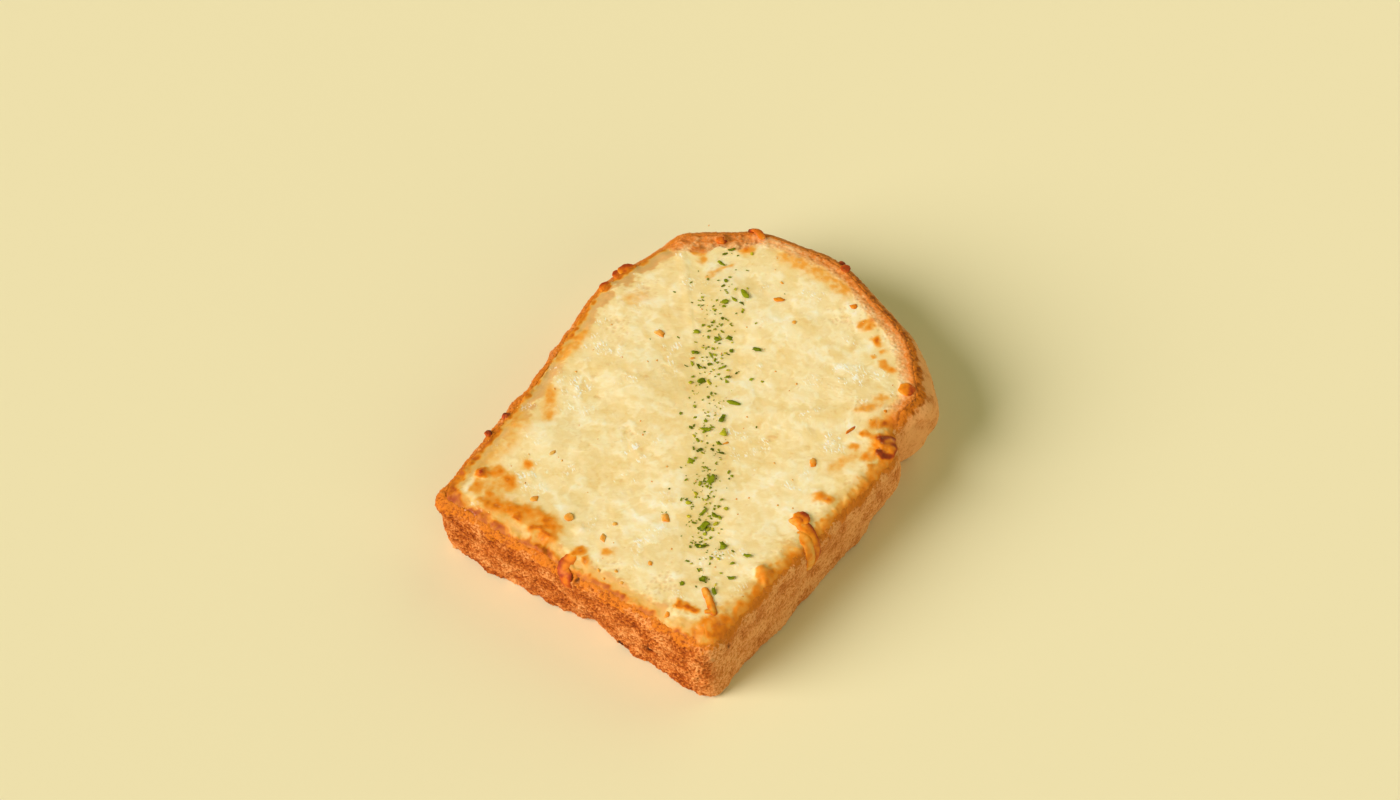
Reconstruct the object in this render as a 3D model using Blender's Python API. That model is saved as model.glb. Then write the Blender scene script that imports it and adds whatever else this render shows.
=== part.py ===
"""A croque monsieur: one thick slice of mountain-top bread under a sheet of melted, browned cheese.

Units are metres and +Z is up. The slice lies on its lower cut face with its dome towards +Y, and the
origin is on the surface that it rests on, under the middle of the slice.
"""

import math
from collections import namedtuple

import bmesh
import bpy
from mathutils import Vector, noise

MM = 0.001

# Driving dimensions of the bread
BREAD_THICKNESS = 24 * MM
TOP_EDGE_RADIUS = 3.2 * MM
BASE_EDGE_RADIUS = 2.0 * MM
CRUST_WOBBLE = 0.45 * MM
CRUST_WOBBLE_SIZE = 9 * MM

# Driving dimensions of the cheese
CHEESE_THICKNESS = 1.9 * MM
CHEESE_LIP = 0.8 * MM
CHEESE_REACH = 1.6 * MM
REACH_WOBBLE = 1.2 * MM
REACH_WOBBLE_SIZE = 11 * MM
CHEESE_SWELL = 0.45 * MM
CHEESE_SWELL_SIZE = 21 * MM
EDGE_LUMP = 0.4 * MM
EDGE_LUMP_SIZE = 7 * MM
RIM_SHOULDER = 4 * MM
UNDERSIDE_WIDTH = 8 * MM
BREAD_TO_CHEESE = 0.3 * MM
DRIP_TO_CRUST = 0.5 * MM
DRIP_MOUTH = 4.4 * MM
DRIP_MOUTH_SPREAD = 2.0

# How finely the skins are divided
AROUND = 110
DRIP_WINDOW = 5 * MM
DRIP_STEP = 1 * MM
SEARCH_STEP = 0.25 * MM
TANGENT_STEP = 1.5 * MM
ARC_STEP = math.radians(3)
TOP_EDGE_STEPS = 3
BASE_EDGE_STEPS = 2
WALL_STEPS = 5
UNDERSIDE_FLAT_STEPS = 1
CHEESE_FLAT_STEPS = 4
DRIP_LEVEL = 3.4 * MM
LONGEST_REACH = 24 * MM
LIP_SNAP = 0.3 * MM
CHEESE_RINGS = (0.84, 0.67, 0.51, 0.36, 0.22, 0.09)

SEAM = 0.01 * MM

# The unevenness of the food: how much the noise is raised to fill -1 to 1, and one place in it for each use
NOISE_GAIN = 2.0
SEED_STEP = Vector((1.0, 2.7, 5.1))
CRUST_SEED = 3.0
REACH_SEED = 7.0
SWELL_SEED = 11.0
LUMP_SEED = 13.0

Corner = namedtuple("Corner", "x y radius")
Swell = namedtuple("Swell", "x y z along up out")
Knob = namedtuple("Knob", "x y radius height")
Drip = namedtuple("Drip", "x y width length thickness")

# The slice seen from above, in millimetres: each corner of its outline and the radius that rounds it
OUTLINE = (
    Corner(-48.9, -69.2, 6.0),
    Corner(47.5, -70.2, 5.5),
    Corner(51.1, -27.6, 60.0),
    Corner(55.9, 18.4, 7.0),
    Corner(49.1, 24.9, 4.0),
    Corner(51.5, 39.4, 10.0),
    Corner(36.9, 57.4, 30.0),
    Corner(2.9, 72.2, 30.0),
    Corner(-25.1, 68.8, 20.0),
    Corner(-46.1, 53.8, 12.0),
    Corner(-55.1, 24.4, 12.0),
    Corner(-50.3, -19.6, 60.0),
)

# Where the crust swells out of its straight wall, or is drawn in: place, spread and amount in millimetres
SWELLS = (
    Swell(48.9, 45.4, 15.0, 17.0, 8.0, 4.4),
    Swell(50.9, 33.4, 9.0, 8.0, 5.0, 1.6),
    Swell(49.9, 38.4, 10.5, 9.0, 1.8, -1.2),
    Swell(52.9, 22.4, 0.0, 18.0, 8.0, -3.4),
    Swell(-51.1, 42.4, 11.0, 26.0, 9.0, 1.6),
    Swell(-7.1, 70.4, 11.0, 34.0, 9.0, 2.0),
    Swell(-1.1, -69.6, 0.0, 34.0, 9.0, -2.2),
    Swell(-47.1, -69.6, 0.0, 9.0, 9.0, -1.4),
    Swell(47.9, -67.6, 0.0, 16.0, 9.0, 1.2),
    Swell(50.9, -39.6, 0.0, 12.0, 9.0, 0.8),
)

# Toasted knobs of cheese, in millimetres
KNOBS = (
    Knob(-49.3, -40.5, 2.1, 1.9),
    Knob(-48.7, -32.5, 2.2, 1.7),
    Knob(-52.5, 24.6, 2.4, 1.7),
    Knob(-50.9, 31.4, 2.6, 1.5),
    Knob(-32.5, 58.4, 2.2, 1.6),
    Knob(3.6, 68.8, 3.0, 1.5),
    Knob(44.5, 38.0, 2.3, 1.5),
    Knob(50.9, 18.9, 4.2, 3.2),
    Knob(44.5, -17.8, 2.6, 2.4),
    Knob(45.2, -39.8, 2.8, 2.2),
    Knob(-40.7, -55.0, 2.6, 1.5),
    Knob(-12.7, -65.0, 2.8, 1.4),
)

# Strings of cheese that have run over the rim and down the crust, in millimetres
DRIPS = (
    Drip(51.9, -24.2, 2.8, 11.0, 1.8),
    Drip(-1.9, -69.2, 2.6, 8.5, 1.7),
)

BREAD_COLOR = (0.52, 0.23, 0.06, 1.0)
CHEESE_COLOR = (0.90, 0.74, 0.40, 1.0)


def clear_scene():
    """Remove every object that the scene starts with."""
    for found in list(bpy.data.objects):
        bpy.data.objects.remove(found, do_unlink=True)


def bell(distance, spread):
    """A smooth hill of height 1 that has faded away at about twice its spread."""
    return math.exp(-((distance / spread) ** 2))


def blunt(distance, spread):
    """A hill of height 1 with a flat top and steep sides, for a string of cheese with a rounded end."""
    return math.exp(-((distance / spread) ** 4))


def ripple(place, size, seed):
    """Soft, uneven variation from about -1 to 1, with humps of about the size given."""
    return NOISE_GAIN * noise.noise(Vector(place) / size + SEED_STEP * seed)


def corner_arc(before, corner, after):
    """The points of the arc that rounds one corner of a closed outline."""
    middle = Vector((corner.x, corner.y)) * MM
    back = (Vector((before.x, before.y)) * MM - middle).normalized()
    ahead = (Vector((after.x, after.y)) * MM - middle).normalized()
    half = back.angle(ahead) / 2
    radius = corner.radius * MM
    centre = middle + (back + ahead).normalized() * (radius / math.sin(half))
    first = middle + back * (radius / math.tan(half)) - centre
    turn = (math.pi - 2 * half) * math.copysign(1, back.y * ahead.x - back.x * ahead.y)
    steps = max(2, math.ceil(abs(turn) / ARC_STEP))
    points = []
    for step in range(steps + 1):
        angle = turn * step / steps
        cosine, sine = math.cos(angle), math.sin(angle)
        spoke = Vector((first.x * cosine - first.y * sine, first.x * sine + first.y * cosine))
        points.append(centre + spoke)
    return points


def rounded_outline(corners):
    """A closed outline with every corner rounded, as points and their distances along it."""
    points = []
    for index, corner in enumerate(corners):
        points += corner_arc(corners[index - 1], corner, corners[(index + 1) % len(corners)])
    points.append(points[0])
    distances = [0.0]
    for start, end in zip(points, points[1:]):
        distances.append(distances[-1] + (end - start).length)
    return points, distances


def point_along(outline, distance):
    """The point of the outline at a distance along it."""
    points, distances = outline
    distance %= distances[-1]
    for index in range(1, len(points)):
        if distances[index] >= distance:
            span = distances[index] - distances[index - 1]
            share = (distance - distances[index - 1]) / span if span else 0.0
            return points[index - 1].lerp(points[index], share)
    return points[-1]


def nearest_distance(outline, x, y):
    """How far along the outline its nearest point to x, y in millimetres lies."""
    target = Vector((x, y)) * MM
    places = [SEARCH_STEP * step for step in range(int(outline[1][-1] / SEARCH_STEP))]
    return min(places, key=lambda place: (point_along(outline, place) - target).length)


Spot = namedtuple("Spot", "point outward")


def spots_around(outline):
    """Places around the rim, closer together where cheese has run over it."""
    length = outline[1][-1]
    places = [length * index / AROUND for index in range(AROUND)]
    window = round(DRIP_WINDOW / DRIP_STEP)
    for drip in DRIPS:
        centre = nearest_distance(outline, drip.x, drip.y)
        places = [place for place in places if abs(place - centre) > DRIP_WINDOW + DRIP_STEP]
        places += [centre + DRIP_STEP * step for step in range(-window, window + 1)]
    spots = []
    for place in sorted(places):
        ahead = point_along(outline, place + TANGENT_STEP)
        behind = point_along(outline, place - TANGENT_STEP)
        along = (ahead - behind).normalized()
        spots.append(Spot(point_along(outline, place), Vector((along.y, -along.x))))
    return spots


def crust_offset(spot, height):
    """How far the crust stands out of its straight wall at a height above the table."""
    x, y, z = spot.point.x / MM, spot.point.y / MM, height / MM
    offset = sum(
        swell.out * bell(math.hypot(x - swell.x, y - swell.y), swell.along) * bell(z - swell.z, swell.up)
        for swell in SWELLS
    )
    wobble = ripple((spot.point.x, spot.point.y, height), CRUST_WOBBLE_SIZE, CRUST_SEED)
    fade = min(1.0, (BREAD_THICKNESS - height) / TOP_EDGE_RADIUS)
    return (offset * MM + CRUST_WOBBLE * wobble) * fade


def crust_point(spot, inset, height):
    """A point of the crust, set in from the outline, and pushed out by the crust's own shape."""
    flat = spot.point + spot.outward * (crust_offset(spot, height) - inset)
    return Vector((flat.x, flat.y, height))


def bread_rings(spots):
    """The rings of the bread's skin, from the edge of its base up to the edge of its top."""
    levels = []
    for step in range(BASE_EDGE_STEPS + 1):
        angle = math.pi / 2 * step / BASE_EDGE_STEPS
        inset = BASE_EDGE_RADIUS * (1 - math.sin(angle))
        levels.append((inset, BASE_EDGE_RADIUS * (1 - math.cos(angle))))
    wall_top = BREAD_THICKNESS - TOP_EDGE_RADIUS
    for step in range(1, WALL_STEPS):
        share = step / WALL_STEPS
        levels.append((0.0, BASE_EDGE_RADIUS + (wall_top - BASE_EDGE_RADIUS) * share))
    for step in range(TOP_EDGE_STEPS + 1):
        angle = math.pi / 2 * step / TOP_EDGE_STEPS
        inset = TOP_EDGE_RADIUS * (1 - math.cos(angle))
        levels.append((inset, wall_top + TOP_EDGE_RADIUS * math.sin(angle)))
    return [[crust_point(spot, inset, height) for spot in spots] for inset, height in levels]


def over_the_edge(spot, reach):
    """A point of the bread's surface and its outward direction, at a distance beyond the flat top.

    A negative reach lies on the flat top. A positive one goes round the edge and then down the wall.
    """
    quarter = TOP_EDGE_RADIUS * math.pi / 2
    outward = Vector((spot.outward.x, spot.outward.y, 0.0))
    up = Vector((0.0, 0.0, 1.0))
    if reach <= 0:
        return crust_point(spot, TOP_EDGE_RADIUS - reach, BREAD_THICKNESS), up
    if reach < quarter:
        angle = reach / TOP_EDGE_RADIUS
        inset = TOP_EDGE_RADIUS * (1 - math.sin(angle))
        height = BREAD_THICKNESS - TOP_EDGE_RADIUS * (1 - math.cos(angle))
        return crust_point(spot, inset, height), outward * math.sin(angle) + up * math.cos(angle)
    height = BREAD_THICKNESS - TOP_EDGE_RADIUS - (reach - quarter)
    return crust_point(spot, 0.0, height), outward


def cheese_reach(spot):
    """How far past the flat top the cheese ends, which is further where it has dripped."""
    x, y = spot.point.x / MM, spot.point.y / MM
    wobble = ripple((spot.point.x, spot.point.y, 0.0), REACH_WOBBLE_SIZE, REACH_SEED)
    reach = CHEESE_REACH + REACH_WOBBLE * wobble
    for drip in DRIPS:
        away = math.hypot(x - drip.x, y - drip.y)
        reach += DRIP_MOUTH * bell(away, DRIP_MOUTH_SPREAD * drip.width)
        reach += drip.length * MM * blunt(away, drip.width)
    return reach


def cheese_thickness(point, from_lip):
    """The thickness of the cheese over a point, given how far in from its lip the point lies."""
    x, y = point.x / MM, point.y / MM
    swell = ripple((point.x, point.y, 0.0), CHEESE_SWELL_SIZE, SWELL_SEED)
    lump = ripple((point.x, point.y, 0.0), EDGE_LUMP_SIZE, LUMP_SEED)
    near_edge = max(0.0, 1 - from_lip / UNDERSIDE_WIDTH)
    full = CHEESE_THICKNESS + CHEESE_SWELL * swell + EDGE_LUMP * lump * near_edge
    share = min(1.0, from_lip / RIM_SHOULDER)
    thickness = CHEESE_LIP + (full - CHEESE_LIP) * share * (2 - share)
    for knob in KNOBS:
        thickness += knob.height * MM * bell(math.hypot(x - knob.x, y - knob.y), knob.radius)
    return thickness


def drip_thickness(spot, reach):
    """The extra thickness of a string of cheese where it hangs on the wall."""
    x, y = spot.point.x / MM, spot.point.y / MM
    extra = 0.0
    for drip in DRIPS:
        share = bell(math.hypot(x - drip.x, y - drip.y), drip.width)
        extra += (drip.thickness * MM - CHEESE_LIP) * share * min(1.0, max(0.0, reach / TOP_EDGE_RADIUS))
    return max(0.0, extra)


def cheese_edge_point(spot, reach, lip, on_top):
    """A point of the cheese near its lip, on its underside or on its top."""
    surface, direction = over_the_edge(spot, reach)
    past = min(1.0, max(0.0, reach / TOP_EDGE_RADIUS))
    lift = BREAD_TO_CHEESE + (DRIP_TO_CRUST - BREAD_TO_CHEESE) * past
    if on_top:
        lift += cheese_thickness(surface, lip - reach) + drip_thickness(spot, reach)
    return surface + direction * lift


def edge_levels():
    """Distances past the flat top at which the cheese's edge may be divided: round the edge, then down."""
    quarter = TOP_EDGE_RADIUS * math.pi / 2
    levels = [quarter * step / TOP_EDGE_STEPS for step in range(TOP_EDGE_STEPS + 1)]
    while levels[-1] < LONGEST_REACH:
        levels.append(levels[-1] + DRIP_LEVEL)
    return levels


def edge_reaches(lip, flat_steps):
    """Where the cheese's edge is divided, from the flat top out to its lip."""
    flat = [UNDERSIDE_WIDTH * (step / flat_steps - 1) for step in range(flat_steps)]
    levels = edge_levels()
    closest = min(levels, key=lambda level: abs(level - lip))
    if abs(closest - lip) < LIP_SNAP:
        lip = closest
    return flat + [min(level, lip) for level in levels]


def edge_rings(spots, lips, flat_steps, on_top):
    """The rings of the cheese's edge, from the flat top out to its lip."""
    columns = []
    for spot, lip in zip(spots, lips):
        reaches = edge_reaches(lip, flat_steps)
        columns.append([cheese_edge_point(spot, reach, lip, on_top) for reach in reaches])
    return [list(ring) for ring in zip(*columns)]


def cheese_rings(spots):
    """The rings of the cheese's skin: out along its underside, round its lip and back over its top."""
    lips = [cheese_reach(spot) for spot in spots]
    rings = edge_rings(spots, lips, UNDERSIDE_FLAT_STEPS, on_top=False)
    rings += reversed(edge_rings(spots, lips, CHEESE_FLAT_STEPS, on_top=True))
    inner = [over_the_edge(spot, -UNDERSIDE_WIDTH)[0] for spot in spots]
    for share in CHEESE_RINGS:
        ring = []
        for point in inner:
            place = Vector((point.x * share, point.y * share, BREAD_THICKNESS + BREAD_TO_CHEESE))
            place.z += cheese_thickness(place, UNDERSIDE_WIDTH)
            ring.append(place)
        rings.append(ring)
    return rings


def skin(name, rings):
    """A closed solid: a grid laid over the rings, joined along its seam and filled at both ends."""
    around, rows = len(rings[0]), len(rings) - 1
    mesh = bmesh.new()
    bmesh.ops.create_grid(mesh, x_segments=around, y_segments=rows, size=1.0)
    for vert in mesh.verts:
        column = round((vert.co.x + 1) / 2 * around) % around
        row = round((vert.co.y + 1) / 2 * rows)
        vert.co = rings[row][column]
    bmesh.ops.remove_doubles(mesh, verts=mesh.verts, dist=SEAM)
    rims = [edge for edge in mesh.edges if edge.is_boundary]
    bmesh.ops.holes_fill(mesh, edges=rims, sides=0)
    bmesh.ops.triangulate(mesh, faces=mesh.faces)
    bmesh.ops.recalc_face_normals(mesh, faces=mesh.faces)
    data = bpy.data.meshes.new(name)
    mesh.to_mesh(data)
    mesh.free()
    data.shade_smooth()
    solid = bpy.data.objects.new(name, data)
    bpy.context.scene.collection.objects.link(solid)
    return solid


def food_material(name, color, roughness):
    """A plain Principled material in the colour of the food."""
    material = bpy.data.materials.new(name)
    material.use_nodes = True
    shader = material.node_tree.nodes["Principled BSDF"]
    shader.inputs["Base Color"].default_value = color
    shader.inputs["Roughness"].default_value = roughness
    shader.inputs["Metallic"].default_value = 0.0
    return material


def main():
    clear_scene()
    spots = spots_around(rounded_outline(OUTLINE))
    bread = skin("bread_slice", bread_rings(spots))
    bread.data.materials.append(food_material("toasted_bread", BREAD_COLOR, 0.85))
    cheese = skin("cheese_topping", cheese_rings(spots))
    cheese.data.materials.append(food_material("melted_cheese", CHEESE_COLOR, 0.35))


main()
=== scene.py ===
"""The looks of a croque monsieur: a thick slice of toasted bread under melted, browned cheese with parsley.

The slice lies on its lower cut face, with its dome towards +Y and its notch towards +X. Shapes are worked
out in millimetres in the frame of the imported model, and every mesh is handed over in metres.
"""

from __future__ import annotations

import logging
import math
from collections.abc import Callable, Sequence
from dataclasses import dataclass, field
from enum import Enum
from functools import partial

import bmesh
import bpy
import numpy as np
from mathutils import Matrix, Vector, noise
from mathutils.bvhtree import BVHTree


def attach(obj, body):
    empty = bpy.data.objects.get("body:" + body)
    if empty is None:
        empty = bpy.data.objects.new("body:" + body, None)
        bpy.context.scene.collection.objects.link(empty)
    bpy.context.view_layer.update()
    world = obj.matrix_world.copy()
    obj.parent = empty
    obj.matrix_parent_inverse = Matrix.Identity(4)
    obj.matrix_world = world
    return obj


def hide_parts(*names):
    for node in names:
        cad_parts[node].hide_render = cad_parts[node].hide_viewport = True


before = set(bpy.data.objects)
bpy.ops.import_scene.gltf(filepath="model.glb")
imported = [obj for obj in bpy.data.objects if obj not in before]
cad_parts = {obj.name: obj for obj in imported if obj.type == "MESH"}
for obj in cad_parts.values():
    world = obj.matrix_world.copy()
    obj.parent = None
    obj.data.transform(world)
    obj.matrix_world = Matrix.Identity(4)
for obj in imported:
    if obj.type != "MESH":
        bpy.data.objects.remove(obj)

log = logging.getLogger("croque_monsieur")

MM = 0.001
LIGHT_TINT = (1.0, 0.92, 0.70)
SEAM = 0.004 * MM
NOISE_GAIN = 2.0
SEED_STEP = np.array((1.0, 2.7, 5.1))
LOT_MIX = (7.31, 3.77, 5.13)
Pair = tuple[float, float]
Triple = tuple[float, float, float]
Color = tuple[float, float, float, float]
Stops = Sequence[tuple[float, Color]]
Array = np.ndarray
Material = bpy.types.Material
Mesh = bmesh.types.BMesh
Piece = bpy.types.Object
Socket = bpy.types.NodeSocket
Sockets = dict[str, Socket]


class Mark(Enum):
    """What a skin carries from point to point.

    The marks that a finish reads run from 0 to 1, and MILK also falls below 0 where the cheese is clear.
    ALONG is a distance round the rim in millimetres.
    """

    TOAST = "toast"
    MILK = "milk"
    GLAZE = "glaze"
    PIT = "pit"
    GRAIN = "grain"
    HERB = "herb"
    WET = "wet"
    # On the cheese BAKE marks painted shade on the lit rim; on the crust it is its bake, painted lighter
    # where the dome faces away from the light.
    BAKE = "bake"
    ALONG = "along"


class Side(Enum):
    """The four sides of the slice, by the way that they face."""

    FRONT = (0.0, -1.0)
    RIGHT = (1.0, 0.0)
    BACK = (0.0, 1.0)
    LEFT = (-1.0, 0.0)


@dataclass(frozen=True)
class Corner:
    """A corner of the slice's outline and the radius that rounds it, in millimetres."""

    x: float
    y: float
    radius: float


@dataclass(frozen=True)
class Swell:
    """A place where the crust swells out or is drawn in: where it is, its spread and its amount."""

    x: float
    y: float
    z: float
    along: float
    up: float
    out: float


@dataclass(frozen=True)
class Knob:
    """A toasted knob of cheese.

    Its dark pair is the way that its brownest side faces, and how strongly; on most knobs that side faces
    away from the key light, so it is partly painted shade. A proud knob also carries a lump of its own, and
    the others only raise the sheet.
    """

    x: float
    y: float
    radius: float
    height: float
    toast: float = 0.62
    dark: Pair = (0.3, 0.3)
    proud: bool = False


@dataclass(frozen=True)
class Stroke:
    """A mark in the cheese along a line: half its width, its relief, its browning and its milkiness."""

    path: tuple[Pair, ...]
    width: float
    height: float
    toast: float = 0.0
    milk: float = 0.0


# The slice's outline before its corners are rounded, counter-clockwise from the near left.
OUTLINE = tuple(Corner(*row) for row in (
    (-48.9, -69.2, 6),
    (47.5, -70.2, 5.5),
    (51.1, -27.6, 60),
    (55.9, 18.4, 7),
    (49.1, 24.9, 4),
    (51.5, 39.4, 10),
    (36.9, 57.4, 30),
    (2.9, 72.2, 30),
    (-25.1, 68.8, 20),
    (-46.1, 53.8, 12),
    (-55.1, 24.4, 12),
    (-50.3, -19.6, 60),
))

# Where the whole wall bulges or draws in, and the cheese with it.
SWELLS = tuple(Swell(*row) for row in (
    (48.9, 45.4, 15, 17, 8, 4.4),
    (50.9, 33.4, 9, 8, 5, 1.6),
    (49.9, 38.4, 10.5, 9, 1.8, -1.2),
    (52.9, 22.4, 0, 18, 8, -3.4),
    (-51.1, 42.4, 11, 26, 9, 1.6),
    (-7.1, 70.4, 11, 34, 9, 2),
    (-1.1, -69.6, 0, 34, 9, -2.2),
    (-47.1, -69.6, 0, 9, 9, -1.4),
    (47.9, -67.6, 0, 16, 9, 1.2),
    (50.9, -39.6, 0, 12, 9, 0.8),
    (-48.6, -46, 21, 7, 4, 0.9),
    (-50.2, -26.4, 21, 3.4, 4, 0.9),
    (-50.6, -14.8, 21, 3.2, 4, 0.9),
    (-51.2, -3.6, 21, 2.8, 4, 1.1),
    (-52, 3.2, 21, 2.4, 4, 0.8),
    (-54.6, 18.6, 21, 3.4, 4, 0.7),
))

# Small dents and bumps of the crust alone.
DENTS = tuple(Swell(*row) for row in (
    (6, -70, 1, 5, 4.5, -2.2),
    (27.5, -70, 8, 1.4, 1.6, -1),
    (25.9, -70, 9.4, 0.9, 0.9, -1.1),
    (27.4, -70, 14, 0.8, 0.8, -0.8),
    (44.1, -70, 8, 0.9, 1.1, -0.9),
    (2.4, -70, 22.4, 0.8, 1.2, -0.9),
    (-11.9, -70, 11, 6, 4, 0.5),
    (50.3, -66.6, 20, 0.9, 5, -1.1),
    (50.3, -62, 19, 0.8, 0.8, -1.3),
    (50.3, -60, 11.5, 0.6, 2.8, -0.9),
    (51.2, -31.5, 13, 1.8, 3, 0.7),
    (51, 28, 20.8, 4, 1, -0.7),
    (51.3, 33.5, 18.6, 4, 1, -0.9),
    (50.6, 39, 16.6, 4, 1, -0.7),
    (-47.6, -67, 20.5, 4, 3.5, 1.3),
))


def seen(red: float, green: float, blue: float) -> Color:
    """The colour of a surface that looks so under the studio's warm light.

    Args:
        red: How red it looks, from 0 to 255.
        green: How green it looks.
        blue: How blue it looks.

    Returns:
        The colour for a shader.
    """
    parts = (red / 255, green / 255, blue / 255)
    linear = [part / 12.92 if part <= 0.04045 else ((part + 0.055) / 1.055) ** 2.4 for part in parts]
    return (*(min(1.0, part / tint) for part, tint in zip(linear, LIGHT_TINT)), 1.0)


def bell(distance: Array, spread: float) -> Array:
    """A smooth hill of height 1 that has faded away at about twice its spread."""
    return np.exp(-((distance / spread) ** 2))


def smooth(values: Array, low: float, high: float) -> Array:
    """A soft step from 0 at low to 1 at high."""
    share = np.clip((values - low) / (high - low), 0.0, 1.0)
    return share * share * (3 - 2 * share)


def facing_side(outward: Array, side: Side, low: float = 0.3) -> Array:
    """How much points that face outwards so belong to a side of the slice."""
    return smooth(outward @ np.array(side.value), low, 0.9)


def by_side(outward: Array, amounts: Sequence[tuple[Side, float | Array]]) -> Array:
    """An amount for each point, from the amounts for the sides that it faces."""
    weights = [facing_side(outward, side, 0.2) for side, _ in amounts]
    return sum(weight * amount for weight, (_, amount) in zip(weights, amounts)) / sum(weights)


def ripple(places: Array, size: float, seed: float) -> Array:
    """Soft, uneven variation from about -1 to 1.

    Args:
        places: Points in millimetres, one row each.
        size: The size of a hump in millimetres.
        seed: Where in the noise it is taken from.

    Returns:
        One value for each point.
    """
    shifted = (places / size + SEED_STEP * seed).tolist()
    return NOISE_GAIN * np.array([noise.noise(place) for place in shifted])


def cells(places: Array, size: float, seed: float) -> tuple[Array, Array]:
    """Scattered cells, for pores and grains.

    Args:
        places: Points in millimetres, one row each.
        size: The size of a cell in millimetres.
        seed: Where in the pattern it is taken from.

    Returns:
        The distance of each point from the middle of its cell, in cell sizes, and a random number from 0 to
        1 that a whole cell shares.
    """
    shifted = (places / size + SEED_STEP * seed).tolist()
    away = np.empty(len(shifted))
    lot = np.empty(len(shifted))
    for index, place in enumerate(shifted):
        distances, middles = noise.voronoi(place)
        away[index] = distances[0]
        lot[index] = sum(part * share for part, share in zip(middles[0], LOT_MIX))
    return away, np.mod(lot, 1.0)


def path_distance(spots: Array, path: Sequence[Pair]) -> Array:
    """How far spots lie from a bent line.

    Args:
        spots: Points seen from above, one row each.
        path: The line's corners, or one point.

    Returns:
        A distance in millimetres for each spot.
    """
    nearest = np.full(len(spots), np.inf)
    points = np.array(path, dtype=float)
    if len(points) == 1:
        return np.hypot(*(spots - points[0]).T)
    for start, end in zip(points, points[1:]):
        span = end - start
        share = np.clip(((spots - start) @ span) / (span @ span), 0.0, 1.0)
        away = spots - start - share[:, None] * span
        nearest = np.minimum(nearest, np.hypot(away[:, 0], away[:, 1]))
    return nearest


def flowing(points: Array, count: int) -> Array:
    """A smooth run of rows through the given ones.

    Args:
        points: The rows that the run passes through.
        count: How many rows the run has.

    Returns:
        The rows of the run, evenly spread.
    """
    padded = np.vstack([2 * points[0] - points[1], points, 2 * points[-1] - points[-2]])
    places = np.linspace(0.0, len(points) - 1.0, count)
    first = np.minimum(places.astype(int), len(points) - 2)
    share = (places - first)[:, None]
    before, start, end, after = (padded[first + step] for step in range(4))
    return 0.5 * (
        2 * start
        + (end - before) * share
        + (2 * before - 5 * start + 4 * end - after) * share**2
        + (3 * start - before - 3 * end + after) * share**3
    )


class Rim:
    """The slice's outline seen from above, run through counter-clockwise by distance."""

    ARC_STEP = math.radians(2)
    TANGENT_STEP = 1.5
    SEARCH_STEP = 0.2

    def __init__(self, corners: Sequence[Corner]) -> None:
        """Round every corner and measure along the outline.

        Args:
            corners: The corners, counter-clockwise.
        """
        points: list[Vector] = []
        for index, corner in enumerate(corners):
            points += self.arc(corners[index - 1], corner, corners[(index + 1) % len(corners)])
        points.append(points[0])
        self.points = np.array([tuple(point) for point in points])
        steps = np.hypot(*np.diff(self.points, axis=0).T)
        self.distances = np.concatenate([[0.0], np.cumsum(steps)])
        self.length = float(self.distances[-1])
        self.search = np.arange(0.0, self.length, self.SEARCH_STEP)
        self.search_points = self.at(self.search)

    def arc(self, before: Corner, corner: Corner, after: Corner) -> list[Vector]:
        """The points of the arc that rounds one corner.

        Args:
            before: The corner before it.
            corner: The corner.
            after: The corner after it.

        Returns:
            The arc's points, in the order in which the outline runs.
        """
        middle = Vector((corner.x, corner.y))
        back = (Vector((before.x, before.y)) - middle).normalized()
        ahead = (Vector((after.x, after.y)) - middle).normalized()
        half = back.angle(ahead) / 2
        centre = middle + (back + ahead).normalized() * (corner.radius / math.sin(half))
        first = middle + back * (corner.radius / math.tan(half)) - centre
        turn = (math.pi - 2 * half) * math.copysign(1, back.y * ahead.x - back.x * ahead.y)
        steps = max(2, math.ceil(abs(turn) / self.ARC_STEP))
        angles = [turn * step / steps for step in range(steps + 1)]
        return [centre + Matrix.Rotation(angle, 2) @ first for angle in angles]

    def at(self, distance: Array) -> Array:
        """Where points of the outline lie.

        Args:
            distance: How far along the outline each of them is.

        Returns:
            The points, one row each.
        """
        wrapped = np.mod(distance, self.length)
        columns = [np.interp(wrapped, self.distances, self.points[:, axis]) for axis in range(2)]
        return np.stack(columns, axis=-1)

    def outward(self, distance: Array) -> Array:
        """Which way the outline faces.

        Args:
            distance: How far along the outline.

        Returns:
            A direction of length 1 for each distance.
        """
        along = self.at(distance + self.TANGENT_STEP) - self.at(distance - self.TANGENT_STEP)
        along /= np.linalg.norm(along, axis=-1, keepdims=True)
        return np.stack([along[..., 1], -along[..., 0]], axis=-1)

    def nearest(self, x: float, y: float) -> tuple[float, float]:
        """Find the outline's nearest point.

        Args:
            x: A spot's place across the slice.
            y: Its place along the slice.

        Returns:
            How far along the outline that point lies, and how far away it is.
        """
        away = np.hypot(self.search_points[:, 0] - x, self.search_points[:, 1] - y)
        best = int(np.argmin(away))
        return float(self.search[best]), float(away[best])


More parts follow.
